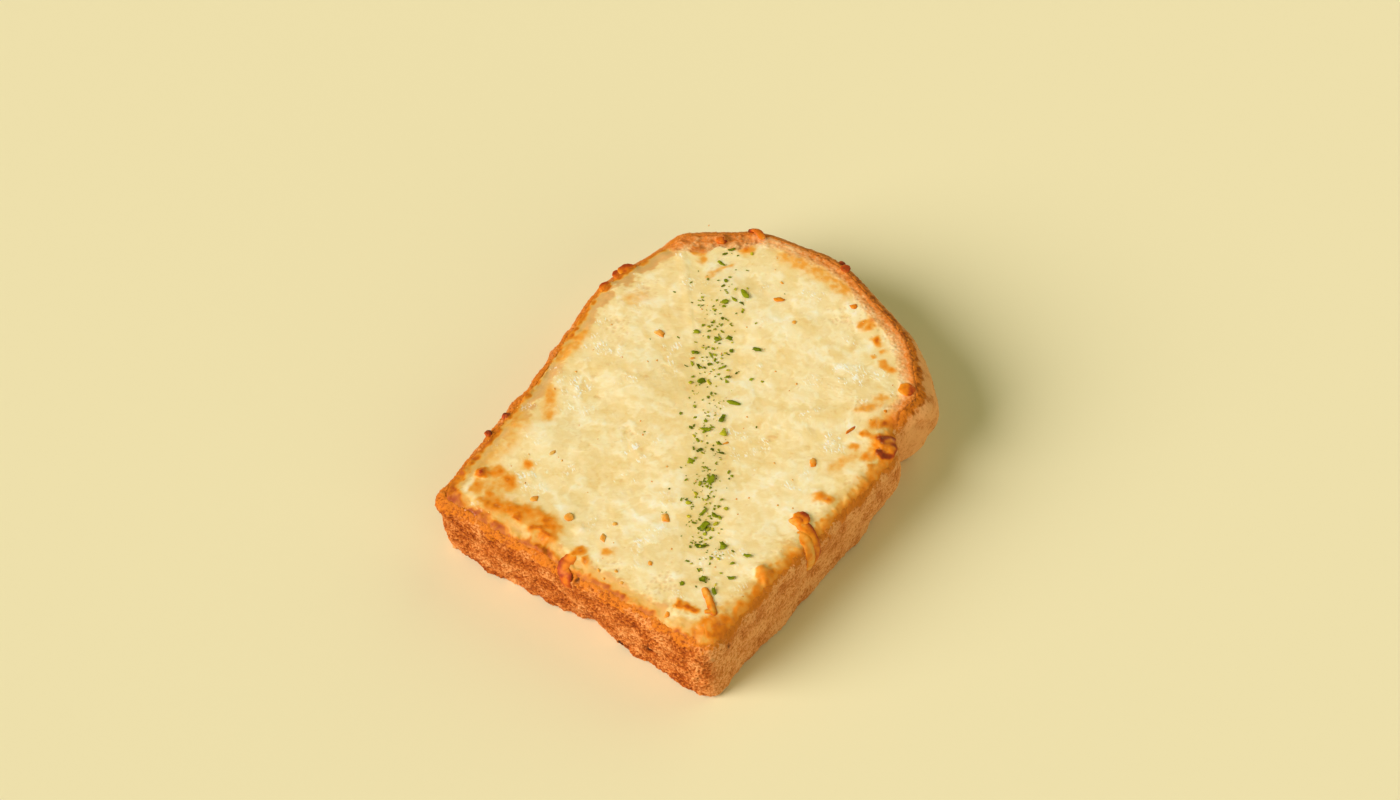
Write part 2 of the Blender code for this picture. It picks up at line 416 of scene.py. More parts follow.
@dataclass
class Loaf:
    """The bread's outer form, which the crust, the crumb and the cheese all follow.

    Lengths are in millimetres. The dome begins past a slanted line across the slice.
    """

    thickness: float = 24.0
    top_edge: float = 3.2
    base_edge: float = 2.0
    wobble: float = 0.45
    wobble_size: float = 9.0
    wobble_seed: float = 3.0
    swells: tuple[Swell, ...] = SWELLS
    rise: float = 1.9
    rise_inset: Pair = (3.0, 8.0)
    rise_from: float = 8.0
    dome_from: Pair = (47.0, 56.0)
    dome_slant: float = 0.24
    dome_pivot: float = -46.0
    rim: Rim = field(default_factory=lambda: Rim(OUTLINE))

    @property
    def quarter(self) -> float:
        """The length of the round over the top edge."""
        return self.top_edge * math.pi / 2

    def push(self, spots: Array, heights: Array, swells: Sequence[Swell]) -> Array:
        """How far swells push the crust out.

        Args:
            spots: Points of the outline.
            heights: The height at each of them.
            swells: The swells.

        Returns:
            A push in millimetres for each point.
        """
        total = np.zeros(len(spots))
        for swell in swells:
            away = np.hypot(spots[:, 0] - swell.x, spots[:, 1] - swell.y)
            total += swell.out * bell(away, swell.along) * bell(heights - swell.z, swell.up)
        return total

    def offset(self, spots: Array, heights: Array) -> Array:
        """How far the crust stands out of its straight wall.

        Args:
            spots: Points of the outline.
            heights: The height at each of them.

        Returns:
            A push in millimetres for each point, which fades away at the top.
        """
        places = np.column_stack([spots, heights])
        uneven = self.wobble * ripple(places, self.wobble_size, self.wobble_seed)
        fade = np.clip((self.thickness - heights) / self.top_edge, 0.0, 1.0)
        return (self.push(spots, heights, self.swells) + uneven) * fade

    def crust_offset(self, spots: Array, heights: Array) -> Array:
        """How far the crust stands out, its small dents and bumps included."""
        return self.offset(spots, heights) + self.push(spots, heights, DENTS)

    def domed(self, spots: Array) -> Array:
        """How much spots belong to the dome, whose edge the cheese leaves bare."""
        return smooth(spots[:, 1] + self.dome_slant * (spots[:, 0] - self.dome_pivot), *self.dome_from)

    def risen(self, spots: Array, heights: Array, inset: Array) -> Array:
        """How much higher the bread's bare edge stands than its top under the cheese."""
        near_edge = 1 - smooth(inset, *self.rise_inset)
        return self.rise * self.domed(spots) * near_edge * smooth(heights, self.rise_from, self.thickness)

    def over_edge(self, distance: Array, reach: Array) -> tuple[Array, Array]:
        """The bread's surface at distances beyond its flat top.

        Args:
            distance: How far along the rim.
            reach: How far past the flat top. A negative reach lies on the top, and a long one on the wall.

        Returns:
            The points of the surface and the directions in which it faces.
        """
        spots, outward = self.rim.at(distance), self.rim.outward(distance)
        angle = np.clip(reach / self.top_edge, 0.0, math.pi / 2)
        beyond = np.maximum(reach - self.quarter, 0.0)
        inset = self.top_edge * (1 - np.sin(angle)) + np.maximum(-reach, 0.0)
        heights = self.thickness - self.top_edge * (1 - np.cos(angle)) - beyond
        flat = spots + outward * (self.offset(spots, heights) - inset)[:, None]
        direction = np.column_stack([outward * np.sin(angle)[:, None], np.cos(angle)])
        return np.column_stack([flat, heights + self.risen(spots, heights, inset)]), direction

    def reach_of(self, x: float, y: float, z: float) -> tuple[float, float]:
        """Where a point near the surface lies.

        Args:
            x: Its place across the slice.
            y: Its place along the slice.
            z: Its height, which is over the thickness for a point on the flat top.

        Returns:
            How far along the rim it lies, and its reach past the flat top.
        """
        distance, away = self.rim.nearest(x, y)
        wall_top = self.thickness - self.top_edge
        if z < wall_top:
            return distance, self.quarter + wall_top - z
        if z < self.thickness:
            return distance, self.top_edge * math.acos((z - wall_top) / self.top_edge)
        return distance, self.top_edge - away


def marked_mesh(*marks: Mark) -> Mesh:
    """Start a mesh whose vertices can carry marks.

    Args:
        *marks: The marks.

    Returns:
        The mesh, which is empty.
    """
    mesh = bmesh.new()
    for mark in marks:
        mesh.verts.layers.float.new(mark.value)
    return mesh


def put(mesh: Mesh, verts: Sequence, places: Array, marks: dict[Mark, Array]) -> None:
    """Set the places of vertices and what they carry.

    Args:
        mesh: The mesh, which already has a layer for each mark.
        verts: The vertices.
        places: One row for each of them, in millimetres.
        marks: One value for each of them under each mark.
    """
    for vert, place in zip(verts, (places * MM).tolist()):
        vert.co = place
    for mark, values in marks.items():
        layer = mesh.verts.layers.float[mark.value]
        for vert, value in zip(verts, values.tolist()):
            vert[layer] = value


def finished(name: str, mesh: Mesh, material: Material) -> Piece:
    """Turn a mesh into a piece of the toast.

    Args:
        name: The piece's name.
        mesh: Its closed mesh in metres, which is freed.
        material: Its finish.

    Returns:
        The piece, at the origin, unturned and unscaled.
    """
    bmesh.ops.recalc_face_normals(mesh, faces=mesh.faces)
    data = bpy.data.meshes.new(name)
    mesh.to_mesh(data)
    mesh.free()
    data.shade_smooth()
    data.materials.append(material)
    piece = bpy.data.objects.new(name, data)
    bpy.context.scene.collection.objects.link(piece)
    return piece


def rolled_grid(mesh: Mesh, around: int, along: int) -> tuple[list, Array, Array]:
    """Add a grid that is to be rolled up, with its first and last columns in one place.

    Args:
        mesh: The mesh to add to.
        around: How many columns go round.
        along: How many squares lie along each column.

    Returns:
        The vertices, and the column and the row of each.
    """
    verts = bmesh.ops.create_grid(mesh, x_segments=around, y_segments=along, size=1.0)["verts"]
    share = (np.array([vert.co[:2] for vert in verts]) + 1) / 2
    column = np.rint(share[:, 0] * around).astype(int) % around
    return verts, column, np.rint(share[:, 1] * along).astype(int)


def ball(mesh: Mesh, fineness: int) -> tuple[list, Array]:
    """Add a ball of radius 1, and give its vertices and their places."""
    verts = bmesh.ops.create_icosphere(mesh, subdivisions=fineness, radius=1.0)["verts"]
    return verts, np.array([tuple(vert.co) for vert in verts])


class SquareSheet:
    """A grid of squares whose rings follow the rim, which gives a sheet even and fine facets."""

    CORNERS = ((-48.9, -69.2), (47.5, -70.2), (45.0, 51.0), (-41.0, 57.0))

    def __init__(self, rim: Rim, half: int, *marks: Mark) -> None:
        """Lay out the grid and number its rings from its middle.

        Args:
            rim: The outline that the rings follow.
            half: How many rings there are.
            *marks: What its points carry, with their distance along the rim.
        """
        self.half = half
        self.mesh = marked_mesh(*marks, Mark.ALONG)
        bmesh.ops.create_grid(self.mesh, x_segments=2 * half, y_segments=2 * half, size=half)
        flat = np.array([vert.co[:2] for vert in self.mesh.verts])
        self.steps = np.rint(flat).astype(int)
        across, up = self.steps.T
        ring = np.abs(self.steps).max(axis=1)
        turn = np.select(
            [up == -ring, across == ring, up == ring],
            [across + ring, 3 * ring + up, 5 * ring - across],
            7 * ring - up,
        )
        starts = [rim.nearest(x, y)[0] for x, y in self.CORNERS]
        anchors = np.array([*starts, starts[0] + rim.length])
        quarter_turns = turn / np.maximum(2 * ring, 1)
        self.distance = np.interp(quarter_turns, np.arange(5.0), anchors)
        self.level = half - ring

    def shape(self, places: Array, marks: dict[Mark, Array]) -> None:
        """Set the places of the sheet's points and what they carry, their distance along the rim included."""
        put(self.mesh, self.mesh.verts, places, {**marks, Mark.ALONG: self.distance})

    def close(self, rings: Sequence[Callable[[Array], Array]]) -> None:
        """Pull the sheet's boundary through rings, then fill the hole that is left.

        Args:
            rings: Each gives the places of one ring, in millimetres, from distances along the rim.
        """
        layer = self.mesh.verts.layers.float[Mark.ALONG.value]
        edges = [edge for edge in self.mesh.edges if edge.is_boundary]
        for ring in rings:
            fresh = bmesh.ops.extrude_edge_only(self.mesh, edges=edges)["geom"]
            verts = [part for part in fresh if isinstance(part, bmesh.types.BMVert)]
            edges = [part for part in fresh if isinstance(part, bmesh.types.BMEdge)]
            put(self.mesh, verts, ring(np.array([vert[layer] for vert in verts])), {})
        bmesh.ops.holes_fill(self.mesh, edges=edges, sides=0)


class Desk:
    """Adds nodes to one tree and joins them, for a material or a shared effect."""

    def __init__(self, tree: bpy.types.NodeTree) -> None:
        """Work on a node tree."""
        self.tree = tree

    @classmethod
    def started(cls, name: str) -> tuple[Material, Desk]:
        """Start a finish.

        Args:
            name: The material's name.

        Returns:
            The material and a desk to work on it.
        """
        material = bpy.data.materials.new(name)
        material.use_nodes = True
        return material, cls(material.node_tree)

    def feed(self, socket: Socket, value: object) -> None:
        """Feed a socket.

        Args:
            socket: The socket.
            value: Another node's output, which is joined to it, or a value of its own.
        """
        if isinstance(value, Socket):
            self.tree.links.new(value, socket)
        else:
            socket.default_value = value

    def dress(self, values: dict[str, object]) -> None:
        """Feed the sockets of the material's shader, or set their own values, by their names."""
        for name, value in values.items():
            self.feed(self.tree.nodes["Principled BSDF"].inputs[name], value)

    def node(self, kind: str, inputs: dict[str | int, object], **settings: object) -> bpy.types.Node:
        """Add a node.

        Args:
            kind: The node's type.
            inputs: What feeds its sockets, by name or number.
            **settings: Its other settings.

        Returns:
            The node.
        """
        made = self.tree.nodes.new(kind)
        for name, setting in settings.items():
            setattr(made, name, setting)
        for name, value in inputs.items():
            self.feed(made.inputs[name], value)
        return made

    def math(self, operation: str, first: object, second: object) -> Socket:
        """Do a sum on two values."""
        return self.node("ShaderNodeMath", {0: first, 1: second}, operation=operation).outputs[0]

    def add(self, first: object, second: object) -> Socket:
        """The sum of two values."""
        return self.math("ADD", first, second)

    def less(self, first: object, second: object) -> Socket:
        """One value less another."""
        return self.math("SUBTRACT", first, second)

    def times(self, first: object, second: object) -> Socket:
        """One value times another."""
        return self.math("MULTIPLY", first, second)

    def swing(self, cloud: object, strength: object) -> Socket:
        """Variation from 0 to 1, made to swing round 0 as strongly as given."""
        return self.times(self.less(cloud, 0.5), strength)

    def clamped(self, value: object, low: float, high: float) -> Socket:
        """A soft step from 0 where a value is low to 1 where it is high."""
        inputs = {"Value": value, "From Min": low, "From Max": high}
        return self.node("ShaderNodeMapRange", inputs, interpolation_type="SMOOTHSTEP").outputs["Result"]

    def mixed(self, share: object, first: object, second: object, how: str = "MIX") -> Socket:
        """A mix of two colours."""
        inputs = {0: share, 6: first, 7: second}
        return self.node("ShaderNodeMix", inputs, data_type="RGBA", blend_type=how).outputs[2]

    def ramp(self, value: object, stops: Stops) -> Socket:
        """A colour that changes with a value.

        Args:
            value: The value.
            stops: Rising values, each with its colour.

        Returns:
            The colour.
        """
        made = self.node("ShaderNodeValToRGB", {"Fac": value})
        band = made.color_ramp
        for index, (place, color) in enumerate(stops):
            stop = band.elements[index] if index < 2 else band.elements.new(place)
            stop.position = place
            stop.color = color
        return made.outputs["Color"]

    def mark(self, mark: Mark) -> Socket:
        """What the mesh carries under a mark."""
        return self.node("ShaderNodeAttribute", {}, attribute_name=mark.value).outputs["Fac"]

    def place(self, stretch: Triple = (1.0, 1.0, 1.0), turn: float = 0.0) -> Socket:
        """The place on the piece in millimetres.

        Args:
            stretch: What each axis is multiplied by. Less than 1 draws a pattern out along it.
            turn: How far the pattern is turned about the upright first.

        Returns:
            The place, as a vector.
        """
        where = self.node("ShaderNodeTexCoord", {}).outputs["Object"]
        scale = tuple(part / MM for part in stretch)
        turned = self.node("ShaderNodeMapping", {0: where, 2: (0.0, 0.0, turn)}).outputs[0]
        return self.node("ShaderNodeMapping", {0: turned, 3: scale}).outputs[0]

    def grain(self, place: object, size: float, detail: float = 2.0, warp: float = 0.0) -> Socket:
        """Cloudy variation from 0 to 1 with humps of a size in millimetres."""
        inputs = {"Vector": place, "Scale": 1 / size, "Detail": detail, "Distortion": warp}
        return self.node("ShaderNodeTexNoise", inputs).outputs[0]

    def group(self, tree: bpy.types.NodeTree, inputs: dict[str, object]) -> bpy.types.NodeOutputs:
        """Place a shared effect in this tree.

        Args:
            tree: The effect.
            inputs: What feeds it.

        Returns:
            Its outputs.
        """
        made = self.tree.nodes.new("ShaderNodeGroup")
        made.node_tree = tree
        for name, value in inputs.items():
            self.feed(made.inputs[name], value)
        return made.outputs

    def bump(self, height: object, strength: float, depth: float) -> Socket:
        """The normal of a surface with relief finer than its mesh."""
        inputs = {"Strength": strength, "Distance": depth, "Height": height}
        return self.node("ShaderNodeBump", inputs).outputs[0]


def shared_effect(
    name: str,
    inputs: dict[str, tuple[str, object]],
    outputs: dict[str, str],
    fill: Callable[[Desk, Sockets], Sockets],
) -> bpy.types.NodeTree:
    """Build a node group once, for several finishes to use.

    Args:
        name: The group's name.
        inputs: Each input's socket type and starting value.
        outputs: Each output's socket type.
        fill: Makes the nodes from the inputs, and gives what feeds each output.

    Returns:
        The node group.
    """
    tree = bpy.data.node_groups.new(name, "ShaderNodeTree")
    for label, (kind, value) in inputs.items():
        tree.interface.new_socket(label, in_out="INPUT", socket_type=kind).default_value = value
    for label, kind in outputs.items():
        tree.interface.new_socket(label, in_out="OUTPUT", socket_type=kind)
    desk = Desk(tree)
    entry = tree.nodes.new("NodeGroupInput")
    leave = tree.nodes.new("NodeGroupOutput")
    made = fill(desk, {label: entry.outputs[label] for label in inputs})
    for label, socket in made.items():
        desk.feed(leave.inputs[label], socket)
    return tree


@dataclass(frozen=True)
class Browning:
    """How cheese and bread colour as they toast: from clear gold through orange to nearly black."""

    gold: Color = seen(240, 178, 76)
    orange: Color = seen(234, 132, 8)
    brown: Color = seen(176, 64, 4)
    dark: Color = seen(86, 26, 8)
    mottle_size: float = 1.7

    def fill(self, desk: Desk, given: Sockets) -> Sockets:
        """Break the browning up, then run it through its colours.

        Args:
            desk: The desk of the effect's tree.
            given: The colour below, the browning and its unevenness.

        Returns:
            The browned colour and the uneven browning.
        """
        uneven = desk.swing(desk.grain(desk.place(), self.mottle_size, 4.0), given["Unevenness"])
        toast = desk.add(given["Toast"], desk.times(uneven, desk.clamped(given["Toast"], 0.02, 0.3)))
        stops = ((0.22, self.gold), (0.5, self.orange), (0.76, self.brown), (0.97, self.dark))
        share = desk.clamped(toast, 0.03, 0.34)
        return {"Color": desk.mixed(share, given["Color"], desk.ramp(toast, stops)), "Toast": toast}

    def build(self) -> bpy.types.NodeTree:
        """Build the effect, which lays browning over a colour.

        Returns:
            The node group.
        """
        inputs = {
            "Color": ("NodeSocketColor", self.gold),
            "Toast": ("NodeSocketFloat", 0.0),
            "Unevenness": ("NodeSocketFloat", 0.5),
        }
        outputs = {"Color": "NodeSocketColor", "Toast": "NodeSocketFloat"}
        return shared_effect("browning", inputs, outputs, self.fill)


@dataclass(frozen=True)
class FineRelief:
    """Relief that is finer than a mesh carries: soft lumps with finer grains over them."""

    size: float = 1.0
    grains: float = 0.3
    finer: float = 2.6

    def fill(self, desk: Desk, given: Sockets) -> Sockets:
        """Mix lumps and grains.

        Args:
            desk: The desk of the effect's tree.
            given: The lumps' size in millimetres and how strong the grains are.

        Returns:
            The height.
        """
        place = desk.place()
        scale = desk.math("DIVIDE", 1.0, given["Size"])
        lumps = desk.node("ShaderNodeTexNoise", {"Vector": place, "Scale": scale, "Detail": 3.0})
        inputs = {"Vector": place, "Scale": desk.times(scale, self.finer)}
        grains = desk.node("ShaderNodeTexVoronoi", inputs, feature="SMOOTH_F1")
        return {"Height": desk.add(lumps.outputs[0], desk.times(grains.outputs["Distance"], given["Grains"]))}

    def build(self) -> bpy.types.NodeTree:
        """The shared effect, which feeds a Bump node."""
        inputs = {"Size": ("NodeSocketFloat", self.size), "Grains": ("NodeSocketFloat", self.grains)}
        return shared_effect("fine_relief", inputs, {"Height": "NodeSocketFloat"}, self.fill)


class Pantry:
    """The shared effects, built once."""

    def __init__(self) -> None:
        """Build the groups."""
        self.browning = Browning().build()
        self.relief = FineRelief().build()


@dataclass(frozen=True)
class CheeseFinish:
    """Melted cheese: milky and clear patches, wet glints, partly painted, browned marks, and bread where it
    thins out.
    """

    peach: Color = seen(226, 170, 96)
    clear: Color = seen(240, 208, 134)
    cream: Color = seen(250, 225, 164)
    milk: Color = seen(255, 241, 200)
    # Painted highlight: white specks that stand in for glints on the wet cheese.
    painted_glint: Color = seen(255, 247, 212)
    herb: Color = seen(214, 186, 84)
    # Painted shade: multiplies the rim on the front and left, which face the key light, to darken it.
    lit_side_shade: Color = (0.80, 0.87, 0.93, 1.0)
    hollow: Color = seen(220, 168, 92)
    bread: Stops = (
        (0.0, seen(246, 216, 156)),
        (0.3, seen(232, 172, 102)),
        (0.6, seen(216, 122, 36)),
        (1.0, seen(104, 46, 14)),
    )
    # Painted shade in the holes of the bare bread.
    bread_hole_shade: Color = seen(206, 132, 60)
    cloud_size: float = 6.0
    shred_size: float = 1.5
    crossing_size: float = 1.9
    roughness: float = 0.44
    unevenness: float = 0.3
    depth: float = 0.2 * MM

    def melted(self, desk: Desk, clouds: object, shreds: object, wet: object) -> Socket:
        """The cheese's own colour.

        Args:
            desk: The desk to work on.
            clouds: Its broad patches.
            shreds: Its melted shreds.
            wet: How wet it is.

        Returns:
            The colour, from peach where the cheese is thin to milky, with painted glints where it is wet.
        """
        crossing = desk.grain(desk.place((0.3, 1.0, 1.0), math.radians(38)), self.crossing_size, 3.0, 1.0)
        tone = desk.add(desk.times(clouds, 0.42), desk.times(shreds, 0.17))
        tone = desk.add(desk.add(tone, desk.times(crossing, 0.15)), 0.02)
        tone = desk.add(tone, desk.times(desk.mark(Mark.MILK), 0.7))
        color = desk.ramp(tone, ((0.0, self.peach), (0.18, self.clear), (0.5, self.cream), (1.0, self.milk)))
        # Painted highlights: white specks and short streaks on the wet patches.
        painted_glints = desk.clamped(desk.grain(desk.place((0.4, 1.0, 1.0), 0.5), 0.55, 2.0), 0.55, 0.63)
        painted_glint_streaks = desk.clamped(desk.grain(desk.place((0.35, 1.0, 1.0), 0.3), 1.1, 3.0), 0.57, 0.62)
        painted_glints = desk.math("MAXIMUM", painted_glints, desk.times(painted_glint_streaks, desk.clamped(wet, 0.4, 0.8)))
        return desk.mixed(desk.times(painted_glints, desk.clamped(wet, 0.05, 0.5)), color, self.painted_glint)

    def browned(self, desk: Desk, pantry: Pantry, color: object, toast: object) -> Socket:
        """Toast the cheese, and paint shade on its rim on the sides that catch the light.

        Args:
            desk: The desk to work on.
            pantry: The shared effects.
            color: The colour before toasting.
            toast: How toasted it is.

        Returns:
            The toasted colour.
        """
        inputs = {"Color": color, "Toast": toast, "Unevenness": self.unevenness}
        color = desk.group(pantry.browning, inputs)["Color"]
        # Painted shade on the rim of the lit sides, where BAKE is set.
        return desk.mixed(desk.mark(Mark.BAKE), color, desk.mixed(1.0, color, self.lit_side_shade, "MULTIPLY"))

    def build(self, pantry: Pantry) -> Material:
        """Build the finish.

        Args:
            pantry: The shared effects.

        Returns:
            The material.
        """
        material, desk = Desk.started("melted_cheese_finish")
        toast, wet, bread = desk.mark(Mark.TOAST), desk.mark(Mark.WET), desk.mark(Mark.GRAIN)
        clouds = desk.grain(desk.place(), self.cloud_size, 4.0, 0.6)
        shreds = desk.grain(desk.place((0.22, 1.0, 1.0), math.radians(-24)), self.shred_size, 3.0, 1.2)
        color = self.melted(desk, clouds, shreds, wet)
        tint = desk.times(desk.times(desk.mark(Mark.HERB), clouds), 0.6)
        color = self.browned(desk, pantry, desk.mixed(tint, color, self.herb), toast)
        baked = desk.add(toast, desk.swing(desk.grain(desk.place(), 0.7, 4.0), 0.6))
        color = desk.mixed(bread, color, desk.ramp(baked, self.bread))
        # Pores show the bread through the thin cheese; holes in the bare bread are painted darker, painted
        # shade.
        pitted = desk.times(desk.mark(Mark.PIT), desk.add(0.4, desk.times(bread, 0.15)))
        dry = desk.add(desk.times(toast, 0.25), desk.times(bread, 0.3))
        fine = desk.group(pantry.relief, {"Size": 0.8, "Grains": 0.25})["Height"]
        rise = desk.add(0.16, desk.add(desk.times(wet, 1.3), desk.times(bread, 0.9)))
        height = desk.times(desk.add(desk.times(shreds, 0.5), fine), rise)
        desk.dress({
            "Base Color": desk.mixed(pitted, color, desk.mixed(bread, self.hollow, self.bread_hole_shade)),
            "Roughness": desk.add(desk.less(self.roughness, desk.times(wet, 0.2)), dry),
            "Coat Weight": desk.times(wet, 0.9),
            "Coat Roughness": 0.1,
            "Specular IOR Level": 0.28,
            "Subsurface Weight": 0.35,
            "Subsurface Radius": (1.0, 0.75, 0.4),
            "Subsurface Scale": 1.2 * MM,
            "Normal": desk.bump(height, 0.6, self.depth),
        })
        return material


@dataclass(frozen=True)
class CrustFinish:
    """Baked crust: pale grains over red-brown pits with painted shade, a toasted orange edge and dark spots,
    some painted shade.
    """

    # Pit colours: partly the crust's browner grain, partly painted shade in its hollows.
    grain_light: Color = seen(242, 170, 98)
    grain_mid: Color = seen(214, 128, 54)
    pit: Color = seen(168, 86, 18)
    baked_light: Color = seen(210, 122, 44)
    baked_mid: Color = seen(176, 84, 18)
    baked_pit: Color = seen(122, 48, 5)
    glaze: Color = seen(212, 116, 20)
    # Painted dark spots; those in the wall's dents and beside the front drip are painted shade.
    dark_spots: Color = seen(62, 28, 14)
    roughness: float = 0.62
    mottle_size: float = 0.42
    patch_size: float = 7.0
    depth: float = 0.25 * MM

    def build(self, pantry: Pantry) -> Material:
        """Build the finish.

        Args:
            pantry: The shared effects.

        Returns:
            The material.
        """
        material, desk = Desk.started("toasted_crust_finish")
        place, shine = desk.place(), desk.mark(Mark.GLAZE)
        fine = desk.swing(desk.grain(place, self.mottle_size, 4.0), 1.5)
        wide = desk.swing(desk.grain(place, self.patch_size, 3.0), 0.25)
        dull = desk.add(0.45, desk.times(desk.mark(Mark.GRAIN), 0.55))
        level = desk.add(desk.add(desk.mark(Mark.PIT), desk.times(fine, dull)), wide)
        tan = desk.ramp(level, ((0.1, self.grain_light), (0.45, self.grain_mid), (0.9, self.pit)))
        baked = desk.ramp(level, ((0.1, self.baked_light), (0.45, self.baked_mid), (0.9, self.baked_pit)))
        color = desk.mixed(desk.clamped(desk.mark(Mark.BAKE), 0.1, 0.9), tan, baked)
        glaze = desk.clamped(desk.add(shine, fine), 0.25, 0.75)
        dip = desk.less(0.9, desk.times(desk.clamped(level, 0.4, 0.9), 0.6))
        color = desk.mixed(desk.times(glaze, dip), color, self.glaze)
        relief = desk.group(pantry.relief, {"Size": 0.45, "Grains": 0.6})["Height"]
        desk.dress({
            # TOAST brings in the painted dark spots, which are shade where they sit in dents.
            "Base Color": desk.mixed(desk.clamped(desk.mark(Mark.TOAST), 0.1, 0.9), color, self.dark_spots),
            "Roughness": desk.less(self.roughness, desk.times(shine, 0.15)),
            "Specular IOR Level": 0.1,
            "Normal": desk.bump(relief, 0.7, self.depth),
        })
        return material


@dataclass(frozen=True)
class CrumbFinish:
    """Open, pored crumb: cream in fresh places and light brown where it has toasted, with painted shade in
    its pores.
    """

    cream: Color = seen(250, 230, 184)
    tan: Color = seen(222, 166, 96)
    # Painted shade for the pores.
    pore_shade: Color = seen(200, 142, 78)
    cloud_size: float = 5.0
    depth: float = 0.25 * MM

    def build(self, pantry: Pantry) -> Material:
        """Build the finish.

        Args:
            pantry: The shared effects.

        Returns:
            The material.
        """
        material, desk = Desk.started("bread_crumb_finish")
        clouds = desk.swing(desk.grain(desk.place(), self.cloud_size, 4.0), 0.8)
        level = desk.add(desk.mark(Mark.TOAST), clouds)
        color = desk.mixed(desk.clamped(level, 0.1, 0.9), self.cream, self.tan)
        relief = desk.group(pantry.relief, {"Size": 0.6, "Grains": 0.5})["Height"]
        desk.dress({
            # Painted shade in the pores, which are also carved into the cut face.
            "Base Color": desk.mixed(desk.times(desk.mark(Mark.PIT), 0.6), color, self.pore_shade),
            "Roughness": 0.75,
            "Specular IOR Level": 0.1,
            "Subsurface Weight": 0.2,
            "Subsurface Radius": (1.0, 0.6, 0.3),
            "Subsurface Scale": 1.5 * MM,
            "Normal": desk.bump(relief, 0.6, self.depth),
        })
        return material


@dataclass(frozen=True)
class LeafFinish:
    """Dried parsley: dark green to olive, matt."""

    dark: Color = seen(88, 100, 6)
    green: Color = seen(140, 146, 14)
    olive: Color = seen(206, 186, 44)
    vein_size: float = 0.5

    def build(self) -> Material:
        """Build the finish.

        Returns:
            The material.
        """
        material, desk = Desk.started("parsley_finish")
        veins = desk.swing(desk.grain(desk.place(), self.vein_size, 3.0), 0.6)
        tone = desk.add(desk.mark(Mark.HERB), veins)
        color = desk.ramp(tone, ((0.05, self.dark), (0.5, self.green), (0.95, self.olive)))
        desk.dress({"Base Color": color, "Roughness": 0.6, "Specular IOR Level": 0.1})
        return material


@dataclass(frozen=True)
class FloorFinish:
    """A plain, pale, matt floor."""

    color: Color = seen(237, 223, 170)

    def build(self) -> Material:
        """Build the finish.

        Returns:
            The material.
        """
        material, desk = Desk.started("plain_floor_finish")
        desk.dress({"Base Color": self.color, "Roughness": 0.9, "Specular IOR Level": 0.1})
        return material


@dataclass(frozen=True)
class DarkSpot:
    """A dark spot painted on the wall: its place along the side, its height, its spreads and its depth."""

    side: Side
    along: float
    z: float
    wide: float
    tall: float
    depth: float = 1.0


# Dark spots painted on the wall. Those in its dents, and the one beside the front drip, are painted shade.
DARK_SPOTS = (
    DarkSpot(Side.FRONT, 6.2, 7.2, 2.2, 0.9),
    DarkSpot(Side.FRONT, 16.2, 2.8, 2.2, 0.9),
    DarkSpot(Side.FRONT, 26.8, 8.6, 1.8, 1),
    DarkSpot(Side.FRONT, 2.3, 22.6, 0.9, 1),
    DarkSpot(Side.FRONT, 46.5, 17.5, 2.2, 2.6, 0.4),
    DarkSpot(Side.RIGHT, -62, 19, 0.9, 0.9),
)


